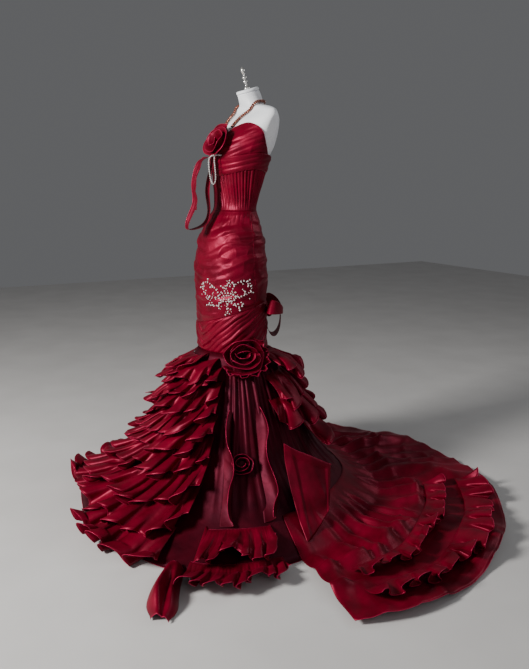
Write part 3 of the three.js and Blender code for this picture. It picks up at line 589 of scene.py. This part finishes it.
def hip_relief(angle, z, v):
    """Ruching: strong folds across the hip below a smoother yoke, then a crumpled field."""
    side = around(angle)
    arc = 2.9 * np.abs(side - 8)
    warp = 0.8 * ripples(side / 36, z / 130, 40) + 0.3 * ripples(side / 12, z / 45, 41)
    s = (z - 0.16 * arc) / 31 + warp
    number = np.floor(s)
    strong = 0.45 + 0.55 * np.exp(-(((z - 1105) / 55) ** 2)) + 0.25 * np.sin(number * 1.9)
    dying = 0.5 + 0.5 * np.sin(side / 19 + number * 2.3)
    big = 8.6 * np.clip(strong, 0.2, 1) * dying * np.sin(math.pi * (s - number)) ** 0.75
    crisp = 3.4 * creases(side / 21 + z / 150, z / 38 - side / 60, 42)
    fine = 1.3 * creases(side / 8, z / 17, 43) + 0.8 * ripples(side / 5, z / 11, 44)
    yoke = 2.2 * ridges(side / 9 + 0.5 * ripples(side / 20, z / 60, 45), 46) * smooth((z - 1140) / 50)
    return 0.8 + (big + crisp + fine) * fade(v, 0.06, 0.05) + yoke * smooth((1210 - z) / 30)


def thigh_relief(angle, z, v):
    """Steep folds that fall from the back of the hip to the front of the thigh."""
    side = around(angle)
    arc = 3.0 * np.abs(side - 4)
    warp = 0.6 * ripples(side / 30, z / 80, 60) + 0.2 * ripples(side / 9, z / 30, 61)
    s = (z - 0.66 * arc) / 27 + warp
    fine = 1.6 * creases(side / 10 - z / 60, z / 20 - side / 20, 63) + 0.7 * ripples(side / 5, z / 11, 64)
    return 0.8 + (6.8 * ridges(s, 1.3, 0.7) + fine) * fade(v, 0.07, 0.05)


def build_body():
    foot = lambda angle: BODICE_FOOT + 0 * angle
    waist = lambda angle: WAIST_SEAM + 0 * angle
    flare = lambda angle: FLARE_TOP + 0 * angle
    band_top = lambda angle: BAND_TOP + 22 * np.sin(np.radians(angle)) ** 2
    band_foot = lambda angle: BAND_FOOT + 24 * np.sin(np.radians(angle)) ** 2
    for side, reach, fine, bodice in (
        ("front", FRONT, 1.0, bodice_relief), ("back", BACK, 0.7, plain_relief),
    ):
        def size(rows, count):
            return int(rows * fine), int(count * fine)

        body_panel("bodice_" + side, reach, neckline, foot, size(44, 190), bodice, top_hem=True)
        body_panel("midriff_" + side, reach, foot, waist, size(26, 270), pleat_relief)
        body_panel("underbust_band_" + side, reach, band_top, band_foot, size(26, 150), band_relief,
                   offset=6.2)
        body_panel("hip_wrap_" + side, reach, waist, thigh_seam, size(96, 180), hip_relief)
        body_panel("thigh_wrap_" + side, reach, thigh_seam, flare, size(66, 180), thigh_relief)


# The skirt, the train and what is sewn on them
def build_skirt():
    """Both skirt panels, folded where no ruffle covers them: `bare` is 1 there and 0 elsewhere."""
    for side, reach in (("front", FRONT), ("back", BACK)):
        u, v = grid(34, 170)
        angle = mix(*reach, u)
        level = v * FLARE_LENGTH
        bare = smooth((angle - 50) / 5) * smooth((92 - angle) / 8) * smooth((level - 70) / 60)
        bare = bare * smooth((670 - level) / 60)
        behind = smooth((angle - 84) / 8) * smooth((168 - angle) / 10) * smooth((level - 40) / 80)
        low = smooth((angle - 160) / 10) * smooth((275 - angle) / 10) * smooth((level - 430) / 80)
        bare = bare + 0.8 * (behind + low) * smooth((660 - level) / 60)
        folds = 15 * ridges(angle / 4.6 + 0.5 * ripples(angle / 9, level / 200, 21), 2, 0.8) * bare
        points = on_garment(angle, level, folds)
        points[..., 2] -= 0.8 * (1 - v)
        name = "skirt_" + side
        # The skirt panels are in the near-black satin: painted shade under and between the ruffles.
        cloth(name, points, [name], PAINTED_SHADE_SATIN,
              hem=points[-1])


TRAIN_SPAN = (82.5, 255)  # degrees round
TRAIN_TOP, TRAIN_SEWN = 0.8, 0.2  # its seam's place down the skirt, and the share of it sewn there
TRAIN_SEAT, TRAIN_RISE = 2.5, 24


def train_point(angle, share):
    """The train: sewn over the lower skirt, then lying on the floor in soft ripples."""
    share = np.clip(share, 0, 1.2)
    angle, share = np.broadcast_arrays(angle, share)
    down = mix(TRAIN_TOP, 1.0, np.minimum(share / TRAIN_SEWN, 1))
    sewn = on_garment(angle, down * FLARE_LENGTH, TRAIN_SEAT)
    out = np.maximum(share - TRAIN_SEWN, 0) / (1 - TRAIN_SEWN)
    inner = on_garment(angle, FLARE_LENGTH + 0 * angle, TRAIN_SEAT)
    radius = mix(np.hypot(inner[..., 0], inner[..., 1]), read(TRAIN_REACH, "angle", angle, "radius"), out)
    ripple = 0.5 + 0.5 * np.sin(np.radians(angle * 12 + 60 * out))
    swell = np.sin(math.pi * np.minimum(out * 1.2, 1) / 2) ** 2
    turn = np.radians(angle)
    z = inner[..., 2] + TRAIN_RISE * ripple * swell
    lying = np.stack([radius * np.sin(turn), -radius * np.cos(turn), z], axis=-1)
    return np.where((share <= TRAIN_SEWN)[..., None], sewn, lying)


def build_train():
    """The train, crumpled and folded except under the sash's end and its own ruffles."""
    u, v = grid(54, 230)
    angle = mix(*TRAIN_SPAN, u)
    points = train_point(angle, v)
    out = np.clip((v - 0.24) / 0.76, 0, 1)
    x, y = points[..., 0] / 90, points[..., 1] / 90
    crumple = 24 * creases(x, y, 71) + 12 * creases(x * 2.1, y * 2.1, 72)
    crumple = crumple + 6 * ripples(x * 1.6, y * 1.6, 73)
    fold = angle / 7.5 + uneven(angle / 7.5, 75, -0.3, 0.3) + 0.5 * ripples(angle / 14, v * 3, 74)
    folds = 26 * (0.5 + 0.5 * np.sin(math.tau * fold)) * uneven(fold, 76, 0.3, 1.2) * (1 - 0.6 * out)
    lifted = np.maximum(crumple * smooth(out * 4.5) + folds * smooth((v - 0.03) / 0.16), -2)
    under_sash = 1 - np.exp(-(((angle - 92) / 9) ** 2)) * (1 - smooth((v - 0.2) / 0.1))
    under_ruffles = smooth((angle - 86) / 5) * smooth((156 - angle) / 6) * smooth((v - 0.46) / 0.06)
    under_ruffles = 1 - 0.75 * under_ruffles * smooth((0.94 - v) / 0.04)
    points[..., 2] += lifted * under_sash * under_ruffles * (1 - 0.5 * out**6) + 1.2
    cloth("train", points, ["train"], hem=points[-1])


RUFFLES = columns("seat start end top_start top_end drop lift swing phase", [
    (2.1, -66, 20, 40, 8, 106, 50, 24, 0.2),
    (2.1, -74, 40, 118, 24, 114, 56, 25, 0.5),
    (2.1, -78, 48, 202, 62, 122, 58, 26, 0.8),
    (2.3, -80, 50, 288, 122, 130, 58, 27, 0),
    (2.5, -82, 50, 376, 188, 138, 56, 28, 0.4),
    (2.8, -84, 50, 464, 262, 146, 54, 30, 0.7),
    (3.0, -85, 49, 556, 344, 158, 50, 32, 0.1),
    (3.6, -86, 48, 650, 436, 172, 46, 34, 0.6),
    (3.7, -86, 46, 742, 552, 190, 36, 36, 0.9),
    (2.7, 2, 41, 704, 716, 186, 20, 22, 0.4),
    (1.9, 113, 158, 6, 12, 116, 66, 30, 0.25),
    (2.1, 100, 160, 120, 92, 132, 62, 32, 0.5),
    (2.3, 96, 160, 214, 186, 136, 56, 32, 0.75),
    (2.1, 124, 162, 318, 296, 150, 66, 30, 0.25),
    (2.1, 168, 284, 12, 30, 130, 56, 26, 0),
    (2.4, 168, 278, 128, 140, 140, 62, 28, 0.75),
    (2.6, 168, 276, 250, 262, 150, 60, 30, 0.25),
    (2.9, 200, 274, 380, 392, 170, 52, 30, 0.5),
    (2.3, 52, 76, 690, 700, 120, 34, 36, 0.5),
    (2.7, 50, 77, 812, 820, 150, 14, 46, 0.25),
])
RUFFLE_NAMES = (
    [f"ruffle_front_{number}" for number in range(1, 11)]
    + [f"ruffle_left_{number}" for number in range(1, 5)]
    + [f"ruffle_right_{number}" for number in range(1, 5)]
    + ["ruffle_floor_1", "ruffle_floor_2"]
)


def build_ruffle(name, row, seed):
    """A gathered tier: broad uneven folds that slant down and turn back on themselves."""
    size = {key: float(values[row]) for key, values in RUFFLES.items()}
    span = size["end"] - size["start"]
    foot = garment_point((size["start"] + size["end"]) / 2, size["top_start"] + size["drop"])
    pitch = 50 if "floor" in name else 62 + 0.055 * size["top_start"]
    number = max(span / 21, math.radians(span) * float(np.hypot(foot[0], foot[1])) / pitch)
    u, v = grid(17, int(number * 24))
    fold = number * u + uneven(number * u, seed, -0.34, 0.34) + 0.55 * v + size["phase"]
    strong = uneven(fold, seed + 1, 0.45, 1.35)
    lift = uneven(fold * 0.8, seed + 2, 0.55, 1.25)
    longer = uneven(fold, seed + 3, -42, 36)
    grow = v**1.1 * strong
    ends = smooth(np.minimum(u, 1 - u) / 0.05)
    sway = -0.19 * np.sin(4 * math.pi * fold) - 0.14 * np.sin(math.tau * fold + 0.9)
    sway = sway * span / number * grow * ends
    last = smooth((u - 0.9) / 0.1) * v**0.7
    out = size["seat"] + size["lift"] * lift * (v**0.65 - 0.14 * v**3) + 0.5 * size["swing"] * v
    out = out + (0.36 * pitch * np.sin(math.tau * fold) * grow + 10 * last) * mix(0.3, 1, ends)
    gathers = ridges(number * 3.4 * u + 0.8 * ripples(u * 20, v * 2, seed), seed)
    gathers = gathers * 6 * v**0.5 * (1 - v) ** 1.5
    crush = 24 * creases(fold * 0.7 + v * 1.1, v * 1.3 - fold * 0.3, seed + 4)
    crush = crush + 2 * ripples(u * number * 2, v * 4, seed + 5)
    out = out + gathers + crush * v * mix(0.3, 1, ends)
    top = mix(size["top_start"], size["top_end"], u**1.6)
    top = top + 14 * ripples(u * number * 0.25, 0 * v, seed + 6) * ends
    fall = (size["drop"] + longer + 20 * strong * np.sin(math.tau * fold + 0.8)) * (1 - 0.3 * last)
    points = on_garment(mix(size["start"], size["end"], u) + sway, top + v * fall, np.maximum(out, 2.5))
    points[..., 2] = np.maximum(points[..., 2], 2.4)
    cloth(name, points, [name], hem=points[-1])


def build_cascade(name, angle, start, lean, phase, seed):
    """A strip sewn on down the skirt, with long soft folds and a slowly winding free edge."""
    end, width, waves, sway = 690, 74, 3, 4
    u, v = grid(20, waves * 60)
    fold = waves * 0.6 * u + phase + uneven(waves * 0.6 * u, seed, -0.2, 0.2) + 0.25 * v
    strong = uneven(fold * 2, seed + 1, 0.5, 1.1)
    swing = 3.6 * np.sin(math.pi * v) + 0.55 * sway * np.sin(math.tau * fold) * v
    place = angle + lean * u + 5 * v + swing * strong
    level = mix(start, end, u) - 12 * np.sin(4 * math.pi * fold + 0.4) * strong * v**1.2
    ends = 0.3 + 0.7 * smooth(np.minimum(u, 1 - u) / 0.2)
    out = 1.8 + width * v * (0.75 + 0.25 * u) * uneven(fold * 2, seed + 2, 0.7, 1.0) * ends
    out = out + 9 * creases(v * 2.4 + u, u * 5, seed) * v
    points = on_garment(place, level, out)
    # The strip is in the dark satin: painted shade for the recess it hangs in.
    cloth(name, points, [name], SHADED_SATIN, hem=points[-1])


def build_rosette(name, spot, turns, inner, outer, height, lean, seat, seed, material=None):
    """A strip wound outwards in a flat spiral, its free edge curling out as petals."""
    u, v = grid(9, int(turns * 66))
    turn = math.tau * turns * u
    petals = 0.05 * np.sin(turn * 2.5) + 0.03 * np.sin(turn * 6.3 + seed)
    curl = lean * v + 7 * v**4 * (0.3 + u)
    radius = mix(inner, outer, u) * (1 + petals * v) + curl
    tall = height * (1.1 - 0.35 * u) * (1 + 0.1 * np.sin(turn * 3.7 + seed))
    out = seat + tall * v + 1.6 * ripples(turn * 2, v * 4, seed) * v
    points = near_spot(spot, radius * np.cos(turn), radius * np.sin(turn), out)
    cloth(name, points, [name], material, hem=points[-1])


# Spots are the angle, the level and the body's middle there.
HIP_ROSETTE = (75, 12, -33)
CASCADE_ROSETTE = (66.5, 470, 0)
BUST_ROSETTE = (6, FLARE_TOP - 1464, 34)
BOW = (152, -150, -33)


def build_trimmings():
    for row, name in enumerate(RUFFLE_NAMES):
        build_ruffle(name, row, 1.7 * row)
    build_cascade("cascade_front", 54, 250, 3, 0.1, 81)
    build_cascade("cascade_back", 79, 240, -5, 0.6, 82)
    build_rosette("hip_rosette", HIP_ROSETTE, 3.4, 10, 78, 40, 9, 5.9, 2)
    # The cascade rosette is in the near-black satin, as painted shade for the recess it sits in.
    build_rosette("cascade_rosette", CASCADE_ROSETTE, 2.4, 7, 36, 34, 5, 1.9, 5,
                  PAINTED_SHADE_SATIN)
    build_rosette("bust_rosette", BUST_ROSETTE, 2.8, 7, 42, 38, 7, 3.6, 8)
    u, v = grid(9, 260)
    turn = mix(-0.9, 2.3, u)
    radius = 97 + 6 * v + 7 * v * np.sin(16 * turn) + 2 * v * np.sin(41 * turn)
    points = near_spot(HIP_ROSETTE, radius * np.cos(turn), radius * np.sin(turn), 6.6 + 40 * v)
    cloth("hip_ruffle_strip", points, ["hip_ruffle_strip"],
          hem=points[-1])


def build_train_ruffles():
    """Two gathered strips on the train: `share` is where each is sewn, `reach` how wide it is."""
    for name, start, end, share, waves, reach, rise, seat, phase in (
        ("train_ruffle_1", 90, 149, 0.52, 5, 0.14, 34, 4.5, 0),
        ("train_ruffle_2", 88, 150, 0.76, 6, 0.18, 40, 5.8, 0.5),
    ):
        number = waves * 2.2
        u, v = grid(15, int(number * 27))
        fold = number * u + uneven(number * u, share, -0.3, 0.3) + 0.5 * v + phase
        strong = uneven(fold, share + 1, 0.5, 1.35)
        sway = -0.2 * np.sin(4 * math.pi * fold) - 0.13 * np.sin(math.tau * fold + 0.9)
        sway = sway * (end - start) / number * v * strong * smooth(np.minimum(u, 1 - u) / 0.05)
        deep = 0.85 + 0.2 * uneven(fold, share + 2, -1, 1) + 0.12 * np.sin(math.tau * fold + 0.8)
        points = train_point(mix(start, end, u) + sway, share + reach * (v * deep))
        wave = rise * (0.55 + 0.62 * strong * np.sin(math.tau * fold))
        crush = 14 * creases(fold * 0.9 + v, v * 1.6 - fold * 0.3, share + 5)
        points[..., 2] += seat + 14 + v * np.maximum(wave + crush, -6)
        cloth(name, points, [name], hem=points[-1])


# Ribbons, strap, bow and sash
def length_along(path):
    """The length from a path's start to each of its points."""
    return np.concatenate([[0], np.cumsum(np.linalg.norm(np.diff(path, axis=0), axis=-1))])


def evenly(length, margin, step):
    """Which points of a path lie at an even step along it."""
    at = np.arange(margin, length[-1] - margin, step)
    return np.interp(at, length, np.arange(len(length))).astype(int)


def build_bow():
    """Three loops that stand out from the back of the hip, and the knot over their roots."""
    for name, heading, reach, girth, width, seat in (
        ("bow_loop_upper_left", 205, 74, 66, 58, 5.1), ("bow_loop_upper_right", -25, 74, 66, 58, 4.5),
        ("bow_loop_lower", 90, 84, 60, 62, 2.9),
    ):
        u, v = grid(24, 120)
        arch = np.sin(math.pi * u)
        far = 14 + reach * arch**0.8
        side = width * (v - 0.5) * (0.35 + 0.65 * arch)
        cup = 10 * (v - 0.5) ** 2 * arch + 1.6 * ridges(v * 5, heading, 0.8) * (1 - arch)
        out = seat + girth * smooth(u) + cup
        turn = math.radians(heading)
        points = near_spot(BOW, far * math.cos(turn) - side * math.sin(turn),
                           far * math.sin(turn) + side * math.cos(turn), out)
        cloth(name, points, [name])
    middle = near_spot(BOW, 0.0, 0.0, 15.4)
    round_knot = np.linspace(0, math.tau, 72, endpoint=False)
    turn, level = np.meshgrid(round_knot, np.linspace(-1, 1, 40))
    girth = 15 * np.sqrt(np.maximum(1 - level**2, 0.0004)) * (1 + 0.05 * np.sin(turn * 7))
    rings = np.stack([girth * np.cos(turn), girth * np.sin(turn), 22 * level], axis=-1) + middle
    closed_loft("bow_knot", rings, SATIN, ["bow_knot"])


def place_between(first, second, share):
    """The angle, level and stand-off at a share of the way from one place to another."""
    return [mix(a, b, share) for a, b in zip(first, second)]


def build_sash():
    """The stiff folded end of the sash, and the arched fold of the hem on the floor."""
    u, v = grid(40, 40)
    top = place_between((90, 412, 88), (113, 600, 108), u)
    low = place_between((87, 806, 4.8), (102, 742, 42), u)
    angle, level, out = place_between(top, low, v)
    turned = 1 - smooth((u - 0.17 - 0.05 * np.sin(4 * v)) / 0.05) * smooth((0.93 - u) / 0.03)
    turned = np.maximum(turned, 1 - smooth((v - 0.09) / 0.05))
    low_creases = np.sin(9 * (v + 0.35 * u) + 3 * creases(u * 2, v * 2, 94)) * smooth((v - 0.5) / 0.3)
    out = out + 9 * np.sin(math.pi * v) * np.sin(math.pi * u) + 6 * turned - 4 + 4 * low_creases
    out = out + 5 * creases(u * 2.4, v * 3, 91)
    points = on_garment(angle, level, out)
    cloth("sash_end", points, ["sash_end"], hem=points[0])
    u, v = grid(48, 60)
    middle = on_garment(mix(46.5, 50, v), mix(846, 1126, v), 3.3)
    mouth = smooth((v - 0.62) / 0.38)
    width = mix(66, 112, v**0.7) * (1 + 0.08 * ripples(v * 3, u * 2, 92)) * np.sqrt(1 - 0.8 * mouth**2)
    across = width * (u - 0.5) + 9 * ripples(u * 2, v * 3, 95) * v
    valley = 1 - 0.62 * np.exp(-(((u - 0.56) / 0.17) ** 2)) * smooth(v * 2.5)
    rolled = np.sin(math.pi * u) ** 0.7 * valley * (1 - 0.72 * mouth)
    rolled = rolled * (1 + 0.16 * ripples(v * 3, u * 2, 96))
    middle[..., 2] += mix(30, 82, v**0.8) * rolled + 7 * creases(u * 2.4, v * 3, 93) * np.sin(math.pi * u)
    middle[..., 0] += across * 0.68
    middle[..., 1] += across * 0.73
    cloth("hem_fold", middle, ["hem_fold"], hem=middle[-1])


def build_ribbons():
    """The ribbon loop and tail that hang from the bust rosette, through places in x, y and z."""
    for name, width, rows in (
        ("bust_ribbon_loop", 40, [
            (18, -92.6, 1413), (18, -138, 1410), (20, -176, 1386), (14, -198, 1310), (18, -192, 1240),
            (16, -226, 1158), (18, -218, 1132), (22, -160, 1150), (22, -136, 1200), (20, -140, 1290),
            (20, -118, 1398)]),
        ("bust_ribbon_tail", 34, [
            (-34, -92.4, 1413), (-35, -132, 1408), (-38, -160, 1350), (-36, -176, 1270),
            (-40, -168, 1206)]),
    ):
        path = smooth_path(rows, 160)
        u = np.linspace(0, 1, len(path))[None, :]
        v = np.linspace(0, 1, 15)[:, None]
        points = np.repeat(path[None], 15, axis=0)
        points[..., 0] += width * (v - 0.5) * (0.7 + 0.3 * np.sin(math.pi * u))
        cupped = 2.4 * np.cos(math.tau * (v - 0.5)) * np.sin(math.pi * u)
        points[..., 1] += cupped + 2 * np.sin(u * 26 + v * 3)
        cloth(name, points, [name], hem=points[0])


def stones(name, centres, outs, radii, material, replaces=()):
    """Small faceted stones set on a surface, as one joined mesh."""
    sides = 8
    centres, outs = np.asarray(centres, float), unit(np.asarray(outs, float))
    radii = np.broadcast_to(radii, (len(centres),)).astype(float)
    side = unit(np.cross(outs, np.array([0.31, 0.17, 0.93])))
    up = np.cross(outs, side)
    turn = np.linspace(0, math.tau, sides, endpoint=False)
    ring = side[:, None] * np.cos(turn)[None, :, None] + up[:, None] * np.sin(turn)[None, :, None]
    levels = [(0.75, -0.55), (1.0, 0.0), (0.58, 0.62)]
    points = np.concatenate([
        centres[:, None] + ring * (radii * wide)[:, None, None] + (outs * (radii * tall)[:, None])[:, None]
        for wide, tall in levels
    ], axis=1)
    base = np.arange(sides)
    after = (base + 1) % sides
    band = np.stack([base, after, after + sides, base + sides], axis=-1)
    quads = np.concatenate([band, band + sides])
    faces, count = [], 3 * sides
    for stone in range(len(centres)):
        faces += (quads + stone * count).tolist()
        faces.append((base[::-1] + stone * count).tolist())
        faces.append((base + 2 * sides + stone * count).tolist())
    make_mesh(name, points, faces, material, replaces, smooth_shaded=False)


# The strap's angle and height, from the bodice's edge to the back of the neck
HALTER = [
    (11.5, 1522), (13, 1538), (16, 1560), (22, 1586), (40, 1607), (80, 1619), (125, 1624), (180, 1626),
]


def build_strap():
    """Two strands twisted round each other, with a bead in each turn."""
    angles, heights = np.array(HALTER, float).T
    turn = np.concatenate([-angles, angles[::-1][1:]])
    z = np.concatenate([heights, heights[::-1][1:]])
    down = unit(form_point(turn, z - 3) - form_point(turn, z + 3))
    round_it = np.stack([np.cos(np.radians(turn)), np.sin(np.radians(turn)), 0 * turn], axis=-1)
    out = unit(np.cross(down, round_it))
    path = smooth_path(form_point(turn, z) + out * 7.8, 760)
    length = length_along(path)
    forward = unit(np.gradient(path, axis=0))
    side = unit(np.cross(forward, np.array([0.05, 0.11, 0.99])))
    up = np.cross(side, forward)
    for number in range(2):
        twist = length / 15 * math.tau + number * math.pi
        strand = path + 3.2 * (side * np.cos(twist)[:, None] + up * np.sin(twist)[:, None])
        points = tube(strand, 2.8, 6)
        node = ["halter_strap"] if number == 0 else []
        name = f"halter_strand_{number + 1}"
        make_mesh(name, points, tube_faces(points), COPPER_BEAD, node)
    spots = evenly(length, 4, 9.5)
    twist = length[spots] / 19 * math.tau + math.pi / 2
    offset = side[spots] * np.cos(twist)[:, None] + up[spots] * np.sin(twist)[:, None]
    stones("halter_beads", path[spots] + 3.4 * offset, offset, 2.9, COPPER_BEAD)


def build_crystals():
    """The strand of stones that hangs in a loop from the bust rosette."""
    loop = smooth_path([
        (49, -91.8, 1419), (50, -134, 1415), (52, -148, 1392), (53, -142, 1330), (53, -130, 1308),
        (53, -120, 1330), (52, -124, 1396), (50, -122, 1420)], 900)
    spots = evenly(length_along(loop), 2, 6.6)
    outs = np.tile([0.86, -0.5, 0.0], (len(spots), 1))
    stones("crystal_strand", loop[spots], outs, 3.0, CRYSTAL, ["crystal_strand"])


def spread(path, step):
    """Places at an even step along a path."""
    length = length_along(path)
    at = np.arange(step / 2, length[-1], step)
    return np.stack([np.interp(at, length, path[:, part]) for part in range(path.shape[1])], axis=-1)


def scroll(start, heading, length, turn):
    """A stem in mm across and up that curls tighter towards its end."""
    share = np.linspace(0, 1, 60)
    bearing = math.radians(heading) + math.radians(turn) * share**1.8
    step = length / len(share) * (1 - 0.45 * share)
    across = start[0] + np.cumsum(step * np.cos(bearing))
    return np.stack([across, start[1] + np.cumsum(step * np.sin(bearing))], -1)


def build_motif():
    """A crystal scroll on the hip: an oval with curling stems and small leaves round it."""
    centre_angle, centre_z, hip_radius = 52.0, 872.0, 150
    turn = np.linspace(0, math.tau, 90)
    places, radii = [], []

    def sew(path, step, radius):
        spots = spread(np.asarray(path), step)
        places.append(spots)
        radii.append(np.full(len(spots), radius))

    sew(np.stack([27 * np.cos(turn), 15 * np.sin(turn)], -1), 8.6, 2.7)
    sew(np.stack([15 * np.cos(turn), 7 * np.sin(turn)], -1), 8.0, 1.9)
    for start, heading, length, curl in (
        ((-24, 10), 118, 120, 170), ((14, 16), 74, 118, -190), ((28, 2), 8, 112, 150),
        ((-30, -2), 186, 104, -160), ((0, -17), -96, 84, 120), ((10, -15), -52, 74, 170),
        ((-14, -15), -128, 78, -170), ((-6, 17), 96, 60, -150),
    ):
        stem = scroll(start, heading, length, curl)
        sew(stem, 9.4, 2.2)
        for share, lean in ((14, 50), (28, -55), (42, 50)):
            way = math.degrees(math.atan2(*(stem[share + 1] - stem[share])[::-1]))
            sew(scroll(stem[share], way + lean, 22, lean), 8.6, 2.6)
    rng = np.random.default_rng(7)
    loose = np.stack([rng.normal(0, 36, 60), rng.normal(0, 26, 60)], -1)
    places.append(loose)
    radii.append(rng.uniform(1.2, 2.2, 60))
    across, up = np.concatenate(places).T * np.array([[1.32], [1.12]])
    radius = np.concatenate(radii) * rng.uniform(1.0, 1.55, len(across))
    z = centre_z + up
    angle = centre_angle + np.degrees(across / hip_radius)
    inside = z > thigh_seam(angle) + 6
    angle, z, radius = angle[inside], z[inside], radius[inside]
    v = (WAIST_SEAM - z) / (WAIST_SEAM - thigh_seam(angle))
    relief = hip_relief(angle, z, v)
    outs = unit(np.stack([np.sin(np.radians(angle)), -np.cos(np.radians(angle)), 0 * angle], -1))
    centres = body_point(angle, z, relief + SHELL / 2 + 0.5 * radius)
    stones("hip_crystals", centres, outs, radius, CRYSTAL)


# The camera, lights and floor
def build_studio():
    bpy.ops.mesh.primitive_plane_add(size=14)
    floor = bpy.context.object
    floor.name = "floor"
    material, nodes, links, shader = node_material("floor_paper")
    place = nodes.new("ShaderNodeTexCoord").outputs["Object"]
    tints = [(0.3, (0.55, 0.54, 0.53)), (0.7, (0.60, 0.59, 0.58))]
    links.new(ramp(nodes, links, noise(nodes, links, place, 3), tints), shader.inputs["Base Color"])
    set_sockets(shader, {"Roughness": 0.85})
    floor.data.materials.append(material)
    for name, place, size, power, colour in (
        ("key", (0.5, -3.8, 2.5), 0.9, 280, (1, 0.98, 0.95)),
        ("fill", (3.6, -0.4, 2.2), 2.2, 16, (0.95, 0.97, 1)),
        ("back", (0.8, 3.0, 2.6), 1.6, 18, (1, 1, 1)),
    ):
        lamp = bpy.data.lights.new(name, "AREA")
        lamp.energy = power
        lamp.size = size
        lamp.color = colour
        holder = bpy.data.objects.new(name, lamp)
        holder.location = place
        aim = Vector((0.1, 0, 0.9)) - Vector(place)
        holder.rotation_euler = aim.to_track_quat("-Z", "Y").to_euler()
        bpy.context.scene.collection.objects.link(holder)
    world = bpy.data.worlds.new("studio")
    bpy.context.scene.world = world
    world.use_nodes = True
    backdrop = world.node_tree.nodes["Background"]
    set_sockets(backdrop, {"Color": (0.80, 0.81, 0.84, 1), "Strength": 0.15})


FOCAL_PX, PHOTO_HEIGHT_PX = 698, 669


def build_camera():
    """The photograph's view: from the wearer's left front, a little above the hips, looking down."""
    lens = bpy.data.cameras.new("view")
    lens.lens = FOCAL_PX / PHOTO_HEIGHT_PX * lens.sensor_width
    camera = bpy.data.objects.new("view", lens)
    azimuth, pitch, distance, aside, height = math.radians(62), math.radians(12), 2.9, 0.11, 1.30
    towards = Vector((math.sin(azimuth), -math.cos(azimuth), 0))
    right = Vector((math.cos(azimuth), math.sin(azimuth), 0))
    camera.location = towards * distance + right * aside + Vector((0, 0, height))
    forward = -towards * math.cos(pitch) - Vector((0, 0, math.sin(pitch)))
    camera.rotation_euler = forward.to_track_quat("-Z", "Y").to_euler()
    bpy.context.scene.collection.objects.link(camera)
    bpy.context.scene.camera = camera


build_camera()
build_studio()
build_form()
build_body()
build_skirt()
build_train()
build_trimmings()
build_train_ruffles()
build_bow()
build_sash()
build_ribbons()
build_strap()
build_crystals()
build_motif()
